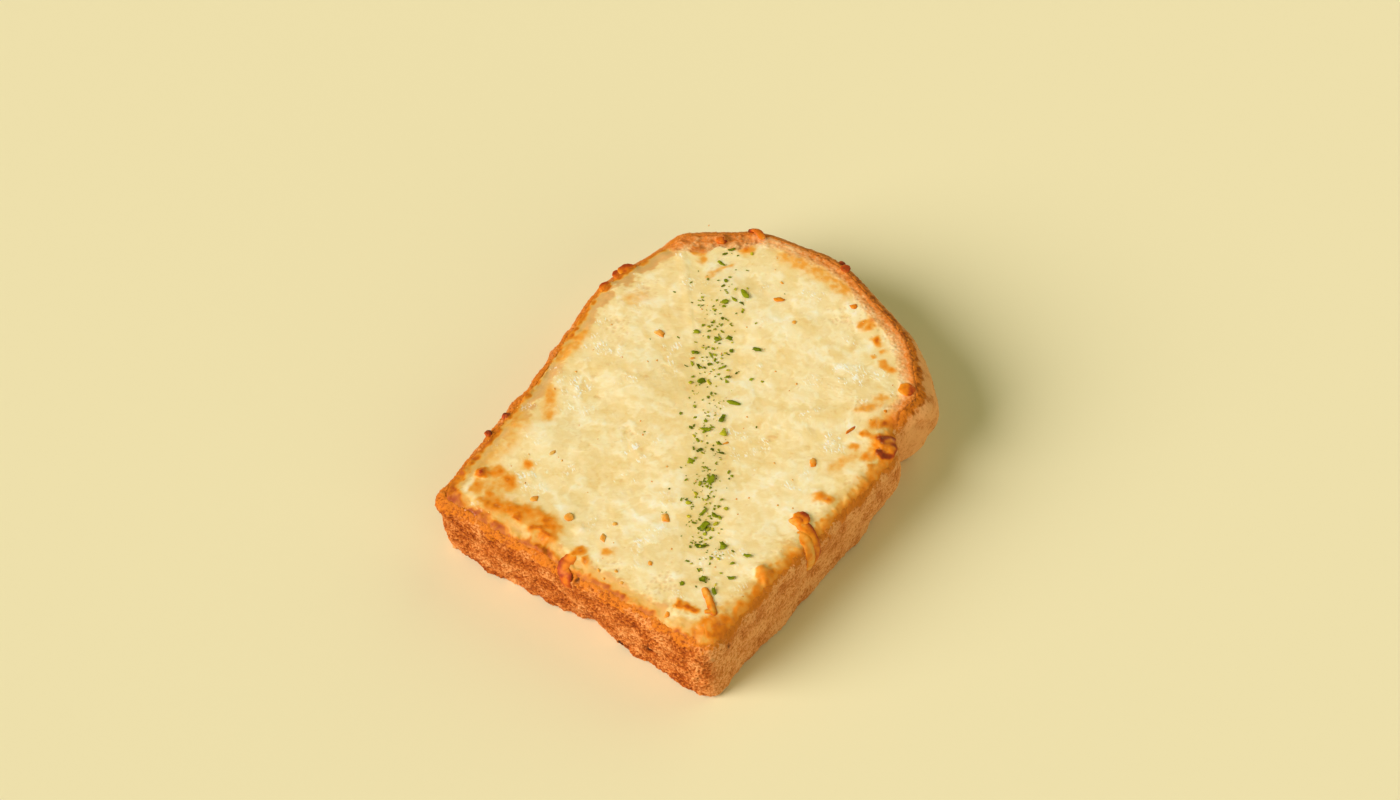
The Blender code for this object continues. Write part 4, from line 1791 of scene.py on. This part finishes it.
@dataclass
class CheeseSheet:
    """The melted cheese: one closed sheet that is sunk a little into the bread and ends in a thin lip."""

    loaf: Loaf
    material: Material
    half: int = 150
    edge_levels: int = 20
    reaches: tuple = ((Side.FRONT, 1.8), (Side.RIGHT, 2.3), (Side.BACK, 1.8), (Side.LEFT, 1.4))
    least_reach: float = 0.8
    bare_reach: float = 1.1
    inner: float = -2.0
    inner_domed: float = -2.8
    sunk: float = 0.25
    under: float = 0.2
    tucks: Pair = (0.4, 3.0)
    centre: Pair = (0.0, -2.0)

    def lips(self, distance: Array) -> Array:
        """Where the cheese ends, which is early at the dome, where only a film is left.

        Args:
            distance: How far along the rim.

        Returns:
            How far past the flat top it reaches there.
        """
        spots = self.loaf.rim.at(distance)
        ground = np.column_stack([spots, np.zeros(len(spots))])
        ragged = ripple(ground, 3.0, 8.0)
        reach = by_side(self.loaf.rim.outward(distance), self.reaches)
        reach = np.maximum(reach + 0.4 * ripple(ground, 11.0, 7.0) + 0.35 * ragged, self.least_reach)
        bare = self.loaf.domed(spots)
        return reach * (1 - bare) + (self.bare_reach + 0.25 * ragged + 0.25 * ripple(ground, 1.2, 9.0)) * bare

    def tucked(self, inwards: float, distance: Array) -> Array:
        """The sheet's hidden underside, so far inwards from its lip, for distances along the rim."""
        surface, facing = self.loaf.over_edge(distance, self.lips(distance) - inwards)
        return surface - facing * (self.sunk + self.under)

    def build(self) -> Piece:
        """Build the piece.

        Returns:
            The piece.
        """
        loaf = self.loaf
        marks = (Mark.TOAST, Mark.MILK, Mark.PIT, Mark.HERB, Mark.WET, Mark.GRAIN, Mark.BAKE)
        sheet = SquareSheet(loaf.rim, self.half, *marks)
        rim_spots, outward = loaf.rim.at(sheet.distance), loaf.rim.outward(sheet.distance)
        domed = loaf.domed(rim_spots)
        lips = self.lips(sheet.distance)
        inner = self.inner + self.inner_domed * domed
        reach = lips + (inner - lips) * np.clip(sheet.level / self.edge_levels, 0.0, 1.0)
        surface, facing = loaf.over_edge(sheet.distance, reach)
        scale = np.minimum(1.0, 1 - (sheet.level - self.edge_levels) / (self.half - self.edge_levels))
        centre = np.array((*self.centre, loaf.thickness))
        further_in = (1 - scale) * np.hypot(*(surface - centre)[:, :2].T)
        surface = centre + (surface - centre) * scale[:, None]
        from_edge = loaf.top_edge - reach + further_in
        risen = loaf.risen(rim_spots, np.full(len(reach), loaf.thickness), np.maximum(from_edge, 0.0))
        ground = surface * np.array((1.0, 1.0, 0.0))
        skin = CheeseSkin(Lie(ground, lips - reach + further_in, from_edge, outward, risen, domed))
        sheet.shape(surface + facing * (skin.thickness - self.sunk)[:, None], skin.marks())
        sheet.close([partial(self.tucked, inwards) for inwards in self.tucks])
        return finished("melted_cheese", sheet.mesh, self.material)


@dataclass
class CheeseTop:
    """The surface that loose toppings lie on. Its heights are in metres."""

    pieces: Sequence[Piece]
    look_from: float = 0.1
    lowest: float = 24 * MM

    def __post_init__(self) -> None:
        """Gather the surfaces to look down on."""
        self.trees = []
        for piece in self.pieces:
            mesh = bmesh.new()
            mesh.from_mesh(piece.data)
            self.trees.append(BVHTree.FromBMesh(mesh))
            mesh.free()

    def under(self, x: float, y: float) -> tuple[Vector, Vector]:
        """The highest point under a spot.

        Args:
            x: The spot's place across the slice, in millimetres.
            y: Its place along the slice.

        Returns:
            The point in metres, and the way that the surface faces there.
        """
        best = (Vector((x * MM, y * MM, self.lowest)), Vector((0.0, 0.0, 1.0)))
        above = Vector((x * MM, y * MM, self.look_from))
        for tree in self.trees:
            hit, normal, _, _ = tree.ray_cast(above, Vector((0.0, 0.0, -1.0)))
            if hit is not None and hit.z > best[0].z:
                best = (hit, normal)
        return best


@dataclass(frozen=True)
class Strand:
    """A string of cheese.

    It has places that it passes, each with half its width, half its thickness and its browning, then its
    milkiness, and how much browner its right edge is than its middle.
    """

    name: str
    places: tuple[Triple, ...]
    widths: tuple[float, ...]
    heights: tuple[float, ...]
    toast: tuple[float, ...]
    milk: float = 0.2
    lean: float = 0.0


# The three drips, the shred at the dome and the two at the near right corner.
STRANDS = (
    Strand(
        "front_drip",
        (
            (-1, -61.6, 26), (-2.4, -63.6, 26), (-2.9, -66.2, 26), (-2.7, -68.6, 25),
            (-1.9, -70, 22.8), (-1, -70.8, 20.6), (-0.2, -70.8, 18.4),
        ),
        (0.9, 1.5, 2, 2.1, 2.1, 1.9, 1.3),
        (0.1, 0.3, 0.5, 0.7, 0.8, 0.8, 0.5),
        (0.42, 0.5, 0.6, 0.7, 0.74, 0.74, 0.7),
        lean=0.04,
    ),
    Strand(
        "right_drip_edge",
        (
            (41.2, -20.2, 26), (44.4, -19.2, 26), (47.6, -19.9, 26), (50.2, -20.6, 25),
            (52.2, -21.2, 22.6), (53, -21.8, 19.4), (53, -22.6, 16.8), (53, -24, 14.2),
        ),
        (0.9, 1.8, 1.9, 1.7, 1.5, 1.3, 1.1, 0.8),
        (0.4, 0.9, 0.9, 0.8, 0.8, 0.8, 0.7, 0.5),
        (0.42, 0.54, 0.58, 0.58, 0.62, 0.64, 0.64, 0.64),
        lean=-0.08,
    ),
    Strand(
        "right_drip",
        (
            (45.2, -20.8, 26), (48, -22, 26), (50.6, -22.9, 24.8), (52.5, -23.5, 21.8),
            (53, -23.8, 18.8), (53, -24.2, 16.4), (53, -24.8, 14.2),
        ),
        (1.2, 2, 2.4, 2.4, 2.2, 1.9, 1.2),
        (0.2, 0.5, 0.6, 0.6, 0.6, 0.6, 0.4),
        (0.44, 0.46, 0.46, 0.44, 0.42, 0.44, 0.5),
        milk=-0.35,
        lean=-0.04,
    ),
    Strand(
        "back_shred",
        ((-28.2, 66.6, 26), (-26.6, 66, 26), (-24.6, 65.2, 26), (-21.6, 64.2, 26)),
        (0.8, 1.1, 1.2, 1),
        (0.7, 0.7, 0.5, 0.3),
        (0.78, 0.7, 0.62, 0.52),
        milk=-0.2,
    ),
    Strand(
        "long_shred",
        (
            (34.3, -52.9, 26), (35.6, -54, 26), (37.5, -55.4, 26), (39.8, -57.4, 26),
            (42.2, -59.5, 26),
        ),
        (0.9, 1.15, 1.2, 1.25, 1.1),
        (0.6, 0.9, 1, 1, 0.7),
        (0.46, 0.46, 0.48, 0.54, 0.6),
    ),
    Strand(
        "short_shred",
        ((39, -59.9, 26), (40.4, -58.9, 26), (42, -58.4, 26)),
        (0.8, 1, 1),
        (0.4, 0.6, 0.6),
        (0.5, 0.52, 0.56),
    ),
)


@dataclass
class CheeseStrings:
    """Strings and shreds of browned cheese that lie on the sheet or hang down the crust."""

    loaf: Loaf
    top: CheeseTop
    material: Material
    around: int = 28
    rows: int = 90
    spread: int = 6
    least_lift: float = 0.35
    sunk: float = 0.25
    tapered: float = 7.0
    first_seed: float = 71.0

    def spine(self, strand: Strand) -> tuple[Array, Array]:
        """The line that a strand runs along.

        Args:
            strand: The strand.

        Returns:
            The points of its line, and the way that the food faces at each.
        """
        spots = flowing(np.array([self.loaf.reach_of(*place) for place in strand.places]), self.rows)
        surface, facing = self.loaf.over_edge(spots[:, 0], spots[:, 1])
        lifts = []
        for place, reach in zip(surface, spots[:, 1]):
            on_top = self.top.under(place[0], place[1])[0].z / MM - self.loaf.thickness
            hanging = max(self.least_lift, on_top * (1 - reach / self.loaf.quarter))
            lifts.append(on_top if reach < 0 else hanging)
        window = 2 * self.spread + 1
        lift = np.convolve(np.pad(lifts, self.spread, mode="edge"), np.ones(window) / window, mode="valid")
        return surface + facing * (lift - self.sunk)[:, None], facing

    def add(self, mesh: Mesh, strand: Strand, seed: float) -> None:
        """Sweep a flattened round section along one strand.

        Args:
            mesh: The mesh to add it to.
            strand: The strand.
            seed: Where in the noise its unevenness is taken from.
        """
        spine, facing = self.spine(strand)
        rows = len(spine)
        knots = np.column_stack([strand.widths, strand.heights, strand.toast])
        widths, heights, toasts = flowing(knots, rows).T
        along = np.gradient(spine, axis=0)
        along /= np.linalg.norm(along, axis=1, keepdims=True)
        across = np.cross(along, facing)
        across /= np.linalg.norm(across, axis=1, keepdims=True)
        ends = np.minimum(np.arange(rows) / self.tapered, np.arange(rows)[::-1] / self.tapered)
        taper = np.sqrt(1 - (1 - np.clip(ends, 0.03, 1.0)) ** 2)
        verts, column, row = rolled_grid(mesh, self.around, rows - 1)
        angle = 2 * math.pi * column / self.around
        side = (np.cos(angle) * (widths * taper)[row])[:, None] * across[row]
        section = side + (np.sin(angle) * (heights * taper)[row])[:, None] * facing[row]
        places = spine[row] + section
        uneven = ripple(places, 1.8, seed) + 0.5 * ripple(places, 0.8, seed + 2)
        places = spine[row] + section * (1 + 0.1 * uneven)[:, None]
        brown = toasts[row] + 0.08 * uneven - 0.08
        brown += 0.16 * np.abs(np.cos(angle)) + strand.lean * np.cos(angle)
        put(mesh, verts, places, {Mark.TOAST: brown, Mark.MILK: np.full(len(brown), strand.milk)})

    def build(self) -> Piece:
        """Build the piece.

        Returns:
            The piece.
        """
        mesh = marked_mesh(Mark.TOAST, Mark.MILK)
        for index, strand in enumerate(STRANDS):
            self.add(mesh, strand, self.first_seed + 4 * index)
        bmesh.ops.remove_doubles(mesh, verts=mesh.verts, dist=SEAM)
        bmesh.ops.holes_fill(mesh, edges=[edge for edge in mesh.edges if edge.is_boundary], sides=0)
        return finished("cheese_strings", mesh, self.material)


@dataclass
class BrownedKnobs:
    """Blistered knobs of browned cheese, sunk into the sheet along its rim."""

    top: CheeseTop
    material: Material
    fineness: int = 5
    shape: Triple = (0.9, 0.9, 0.7)
    sunk: float = 0.45
    first_seed: float = 91.0

    def add(self, mesh: Mesh, knob: Knob, seed: float) -> None:
        """Sink one blistered ball into the sheet.

        Args:
            mesh: The mesh to add it to.
            knob: The knob.
            seed: Where in the noise its blisters are taken from.
        """
        middle, _ = self.top.under(knob.x, knob.y)
        verts, unit = ball(mesh, self.fineness)
        warp = 0.15 * ripple(unit, 1.0, seed) + 0.06 * ripple(unit, 0.4, seed + 1)
        size = np.array(self.shape) * np.array((knob.radius, knob.radius, knob.height))
        # Browner on the dark side, which mostly faces away from the key light, and in its dents: partly
        # painted shade.
        lean = unit[:, 0] * knob.dark[0] + unit[:, 1] * knob.dark[1]
        brown = knob.toast - 0.08 + 0.26 * smooth(lean + 0.4 * warp, -0.1, 0.6)
        brown += 0.08 * unit[:, 2] - 0.4 * warp
        base = np.array(tuple(middle)) / MM - np.array((0.0, 0.0, self.sunk * knob.height))
        put(mesh, verts, base + unit * (1 + warp)[:, None] * size, {Mark.TOAST: np.clip(brown, 0.0, 1.0)})

    def build(self) -> Piece:
        """Build the piece.

        Returns:
            The piece.
        """
        mesh = marked_mesh(Mark.TOAST, Mark.MILK, Mark.PIT)
        for index, knob in enumerate(knob for knob in KNOBS if knob.proud):
            self.add(mesh, knob, self.first_seed + 3.0 * index)
        return finished("browned_knobs", mesh, self.material)


@dataclass(frozen=True)
class Flake:
    """A flake of parsley that stands out: its place, length and width, turn and tone."""

    x: float
    y: float
    length: float
    width: float
    turn: float
    tone: float


# The flakes that stand out, from the dome to the near right corner.
FLAKES = tuple(Flake(*row) for row in (
    (-28.1, 56.2, 2, 1, 40, 0.2),
    (-28.7, 53.7, 2.2, 0.8, 70, 0.25),
    (-27.3, 49.8, 2.2, 1.1, -20, 0.45),
    (-14.6, 43.1, 3.6, 1.8, -20, 0.5),
    (-18.1, 37.7, 2.3, 1.4, 15, 0.4),
    (-9.2, 26.6, 2.3, 1.8, 30, 0.3),
    (-12.4, 24.3, 1.8, 1.2, 0, 0.35),
    (-0.2, 27.3, 3.2, 1.3, 12, 0.15),
    (-18.9, 23.2, 1.9, 1.5, 30, 0.55),
    (-10.5, 18.3, 2.5, 0.6, -35, 0.5),
    (-7.3, 8.6, 2.5, 1.8, 60, 0.15),
    (5.4, 6.5, 3.8, 1.5, 15, 0.5),
    (5.7, -0.7, 1.8, 2.3, 20, 0.15),
    (3.9, -6.1, 2.8, 1, 20, 0.5),
    (12.1, -10.6, 2.2, 1.3, -10, 0.1),
    (6.8, -17.9, 2.3, 1.5, 0, 0.4),
    (15.3, -20.6, 3, 1.8, 80, 0.35),
    (23, -30.6, 2.3, 1.3, -15, 0.4),
    (22.7, -34.9, 3.5, 2.5, 70, 0.3),
    (19.8, -31.6, 3, 1, 80, 0.35),
    (25.6, -41.8, 2.6, 1.4, 20, 0.05),
    (38.7, -37.3, 2.3, 1.3, 10, 0.4),
    (37.6, -52.6, 2.4, 1.3, -40, 0.2),
    (28.4, -55.3, 1.6, 1.2, 70, 0.3),
    (38.8, -46, 2.2, 1, 30, 0.3),
))


@dataclass
class Parsley:
    """Dried parsley, strewn in one strip across the cheese. Flakes that would lie too low are left out."""

    top: CheeseTop
    material: Material
    strip: Strip = Strip()
    count: int = 420
    seed: int = 11
    thickness: float = 0.12
    lowest: float = 24.6 * MM
    clumps: tuple[float, ...] = (0.16, 0.24, 0.38, 0.47, 0.56, 0.68, 0.74, 0.79, 0.84, 0.88)
    in_clumps: float = 0.62
    clump_length: float = 0.035
    kept_close: float = 0.8
    close: float = 3.1
    loose: float = 6.5

    def scattered(self, random: np.random.Generator) -> list[Flake]:
        """Small flakes, thickest where the strip is.

        Args:
            random: Where they are drawn from.

        Returns:
            The flakes.
        """
        flakes = []
        for _ in range(self.count):
            if random.random() < self.in_clumps:
                share = random.choice(self.clumps) + random.normal(0.0, self.clump_length)
            else:
                share = random.random()
            share = min(1.0, max(0.0, share))
            bow = -self.strip.bow * math.sin(share * math.pi)
            off = random.normal(bow, self.close if random.random() < self.kept_close else self.loose)
            x, y = self.strip.spot(share, off)
            length = float(np.clip(random.lognormal(-0.42, 0.5), 0.3, 2.2))
            width = length * random.uniform(0.35, 0.95)
            flakes.append(Flake(x, y, length, width, random.uniform(0, 180), float(random.beta(2.0, 2.2))))
        return flakes

    def add(self, mesh: Mesh, flake: Flake, random: np.random.Generator) -> None:
        """Cut, curl and lay one flake.

        Args:
            mesh: The mesh to add it to.
            flake: The flake.
            random: Where its curl, its tilt and its ragged edge are drawn from.
        """
        spot, facing = self.top.under(flake.x, flake.y)
        verts = bmesh.ops.create_grid(mesh, x_segments=4, y_segments=2, size=0.5)["verts"]
        tone = mesh.verts.layers.float[Mark.HERB.value]
        curl, tilt = random.uniform(-0.5, 0.9), random.normal(0.0, 0.25)
        edge = random.uniform(0.62, 1.25, len(verts))
        tilted = Matrix.Rotation(tilt, 4, "X") @ Matrix.Rotation(random.normal(0.0, 0.2), 4, "Y")
        turned = Matrix.Rotation(math.radians(flake.turn), 4, "Z")
        lie = Vector((0, 0, 1)).rotation_difference(facing).to_matrix().to_4x4() @ turned @ tilted
        for vert, uneven in zip(verts, edge.tolist()):
            x, y = vert.co.x * 2, vert.co.y * 2
            round_off = math.sqrt(max(0.1, 1 - 0.72 * x * x))
            place = Vector((
                0.5 * flake.length * x * (1 if abs(x) < 0.9 else uneven),
                0.5 * flake.width * y * round_off * uneven,
                0.22 * flake.length * curl * (x * x - 0.3) + 0.12 * flake.width * y * y,
            ))
            vert.co = spot + (lie @ place + facing * (0.1 + 0.05 * flake.length)) * MM
            vert[tone] = flake.tone

    def build(self) -> Piece:
        """Build the piece.

        Returns:
            The piece.
        """
        random = np.random.default_rng(self.seed)
        mesh = marked_mesh(Mark.HERB)
        for flake in [*FLAKES, *self.scattered(random)]:
            if self.top.under(flake.x, flake.y)[0].z > self.lowest:
                self.add(mesh, flake, random)
        bmesh.ops.solidify(mesh, geom=mesh.faces[:], thickness=self.thickness * MM)
        return finished("parsley_flakes", mesh, self.material)


@dataclass(frozen=True)
class Bit:
    """A loose crumb: its place, length, width, turn and browning."""

    x: float
    y: float
    length: float
    width: float
    turn: float = 0.0
    toast: float = 0.5


# The crumbs that stand out.
BITS = tuple(Bit(*row) for row in (
    (-23, -53.9, 2.3, 1.8, 60, 0.58),
    (-11.1, -54, 3, 2.2, -50, 0.56),
    (1.1, -54.5, 3, 1.9, -55, 0.56),
    (1.2, -48.7, 1.4, 1.1, 0, 0.46),
    (6.5, -64.5, 1.1, 0.9, 0, 0.58),
    (-28.3, -37.9, 2.2, 0.9, 60, 0.46),
    (10.7, -62, 1, 0.8, 0, 0.52),
    (17.3, -54.5, 1.4, 1, -20, 0.62),
    (14, -64.2, 1.2, 1, 0, 0.54),
    (30.6, -66, 1.6, 1.4, 0, 0.72),
    (9, -65.7, 0.9, 0.8, 0, 0.6),
    (14.9, 57.3, 2.6, 1.6, 60, 0.8),
    (-5.2, 47.5, 2.6, 1.5, 20, 0.74),
    (3.5, 42.2, 1.3, 1, 60, 0.58),
    (-8, 53.4, 1, 0.8, 0, 0.5),
    (-27.7, 16.9, 3.2, 2.1, -10, 0.54),
    (36.3, 0.8, 2.8, 2.1, -40, 0.58),
    (43.7, 28.8, 1, 0.8, 0, 0.8),
    (38.9, 16.9, 3.6, 0.9, 75, 0.95),
    (11.4, -6.7, 1.7, 0.6, 60, 0.68),
    (12, -39, 2.9, 2.3, -20, 0.54),
    (-14.4, 14.4, 1.6, 0.6, 50, 0.6),
))


@dataclass
class ToastCrumbs:
    """Loose toasted crumbs on the cheese."""

    top: CheeseTop
    material: Material
    strewn: int = 70
    seed: int = 17
    facets: int = 11
    breadlike: float = 0.05
    fine_from: float = 0.8
    first_noise: float = 131.0

    def scattered(self, random: np.random.Generator) -> list[Bit]:
        """Small crumbs, strewn all over the cheese.

        Args:
            random: Where they are drawn from.

        Returns:
            The crumbs.
        """
        bits = []
        for _ in range(self.strewn):
            x, y = random.uniform((-48.0, -66.0), (48.0, 62.0))
            size = random.uniform(0.3, 0.75)
            width, turn = size * random.uniform(0.5, 1.0), random.uniform(0, 180)
            bits.append(Bit(x, y, size, width, turn, random.uniform(0.42, 0.7)))
        return bits

    def add(self, mesh: Mesh, bit: Bit, noise_from: float, random: np.random.Generator) -> None:
        """Cut one crumb from a ball and lay it on the cheese.

        Args:
            mesh: The mesh to add it to.
            bit: The crumb.
            noise_from: Where in the noise its roughness is taken from.
            random: Where its facets are drawn from.
        """
        spot, facing = self.top.under(bit.x, bit.y)
        verts, unit = ball(mesh, 3 if bit.length > self.fine_from else 2)
        cuts = random.normal(0.0, 1.0, (self.facets, 3))
        cuts /= np.linalg.norm(cuts, axis=1, keepdims=True)
        reach = random.uniform(0.55, 0.95, self.facets) / np.maximum(unit @ cuts.T, 0.3)
        radius = np.minimum(reach.min(axis=1), 1.15)
        rough = 0.1 * ripple(unit, 0.5, noise_from)
        thick = 0.15 * bit.width + 0.1
        size = np.array((0.62 * bit.length, 0.62 * bit.width, 0.8 * thick))
        shape = unit * (radius + rough)[:, None] * size
        turned = Matrix.Rotation(math.radians(bit.turn), 3, "Z")
        lie = Vector((0, 0, 1)).rotation_difference(facing).to_matrix() @ turned
        # Browner in its dents and on its +x side, away from the key light: painted shade over its own
        # browning.
        brown = 0.7 * bit.toast - 0.01 - 0.6 * rough + 0.1 * unit[:, 0]
        toast, bread = (mesh.verts.layers.float[mark.value] for mark in (Mark.TOAST, Mark.GRAIN))
        for vert, place, value in zip(verts, shape.tolist(), brown.tolist()):
            vert.co = spot + (lie @ Vector(place) + facing * 0.15 * thick) * MM
            vert[toast] = value
            vert[bread] = self.breadlike

    def build(self) -> Piece:
        """Build the piece.

        Returns:
            The piece.
        """
        random = np.random.default_rng(self.seed)
        mesh = marked_mesh(Mark.TOAST, Mark.GRAIN)
        for index, bit in enumerate([*BITS, *self.scattered(random)]):
            self.add(mesh, bit, self.first_noise + index, random)
        return finished("toast_crumbs", mesh, self.material)


@dataclass(frozen=True)
class Sun:
    """A broad, even light: where it comes from, how soft it is, and what it adds to the floor's light."""

    name: str
    way: Pair
    elevation: float
    softness: float
    share: Triple


@dataclass
class Studio:
    """A plain pale floor, three soft lights, a warm sky and the camera. Places are in metres."""

    azimuth: float = 33.6
    elevation: float = 51.5
    distance: float = 1.0
    lens: float = 85.0
    sensor: float = 36.0
    aim: Triple = (-0.0150, 0.0193, 0.0)
    floor_size: float = 6.0
    key: Sun = Sun("key_light", (-0.574, -0.819), 31.0, 42.0, (0.67, 0.592, 0.522))
    fill: Sun = Sun("fill_light", (0.90, -0.42), 13.0, 60.0, (0.07, 0.062, 0.042))
    back: Sun = Sun("back_light", (0.25, 0.97), 30.0, 60.0, (0.1, 0.1, 0.06))
    sky: Color = (0.16, 0.166, 0.076, 1.0)

    def point_at(self, thing: Piece, place: Vector, target: Vector) -> None:
        """Put a light or the camera in its place.

        Args:
            thing: The light or the camera.
            place: Where it goes.
            target: What it looks at.
        """
        thing.location = place
        thing.rotation_euler = (target - place).to_track_quat("-Z", "Y").to_euler()
        bpy.context.scene.collection.objects.link(thing)

    def hang(self, sun: Sun) -> None:
        """Hang a broad light, as strong as its share of the floor's light asks.

        Args:
            sun: The light.
        """
        lamp = bpy.data.lights.new(sun.name, "SUN")
        lamp.angle = math.radians(sun.softness)
        brightest = max(sun.share)
        lamp.energy = math.pi * brightest / math.sin(math.radians(sun.elevation))
        lamp.color = [part / brightest for part in sun.share]
        ground = Vector((*sun.way, 0.0)).normalized() * math.cos(math.radians(sun.elevation))
        place = ground + Vector((0, 0, math.sin(math.radians(sun.elevation))))
        self.point_at(bpy.data.objects.new(sun.name, lamp), place, Vector((0, 0, 0)))

    def build(self) -> None:
        """Lay the floor, hang the lights and set up the camera."""
        mesh = bmesh.new()
        bmesh.ops.create_grid(mesh, x_segments=1, y_segments=1, size=self.floor_size)
        floor = finished("floor", mesh, FloorFinish().build())
        for sun in (self.key, self.fill, self.back):
            self.hang(sun)
        world = bpy.data.worlds.new("soft_sky")
        world.use_nodes = True
        background = world.node_tree.nodes["Background"]
        background.inputs["Color"].default_value = self.sky
        background.inputs["Strength"].default_value = 1.0
        scene = bpy.context.scene
        scene.world = world
        scene.view_settings.view_transform = "Standard"
        lens = bpy.data.cameras.new("camera")
        lens.lens = self.lens
        lens.sensor_width = self.sensor
        camera = bpy.data.objects.new("camera", lens)
        turn, tilt = math.radians(self.azimuth), math.radians(self.elevation)
        back = Vector((math.sin(turn) * math.cos(tilt), -math.cos(turn) * math.cos(tilt), math.sin(tilt)))
        aim = Vector(self.aim)
        self.point_at(camera, aim + back * self.distance, aim)
        scene.camera = camera


def serve(piece: Piece, slot: str, *nodes: str) -> None:
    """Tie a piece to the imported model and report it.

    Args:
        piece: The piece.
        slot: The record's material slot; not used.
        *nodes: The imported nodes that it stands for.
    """
    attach(piece, "root")
    if nodes:
        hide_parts(*nodes)
    log.info("%s: %d faces", piece.name, len(piece.data.polygons))


def main() -> None:
    """Build the toast, then the studio round it."""
    logging.basicConfig(level=logging.INFO, format="%(message)s")
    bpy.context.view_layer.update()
    pantry = Pantry()
    loaf = Loaf()
    cheese_finish = CheeseFinish().build(pantry)
    crust = Crust(loaf, CrustFinish().build(pantry)).build()
    serve(crust, "toasted_bread", "bread_slice")
    crumb = Crumb(loaf, CrumbFinish().build(pantry)).build()
    serve(crumb, "toasted_bread", "bread_slice")
    cheese = CheeseSheet(loaf, cheese_finish).build()
    serve(cheese, "melted_cheese", "cheese_topping")
    top = CheeseTop([cheese, crumb, crust])
    knobs = BrownedKnobs(top, cheese_finish).build()
    serve(knobs, "melted_cheese", "cheese_topping")
    strings = CheeseStrings(loaf, top, cheese_finish).build()
    serve(strings, "melted_cheese", "cheese_topping")
    serve(ToastCrumbs(top, cheese_finish).build(), "toasted_bread")
    serve(Parsley(top, LeafFinish().build()).build(), "melted_cheese")
    Studio().build()


if __name__ == "__main__":
    main()
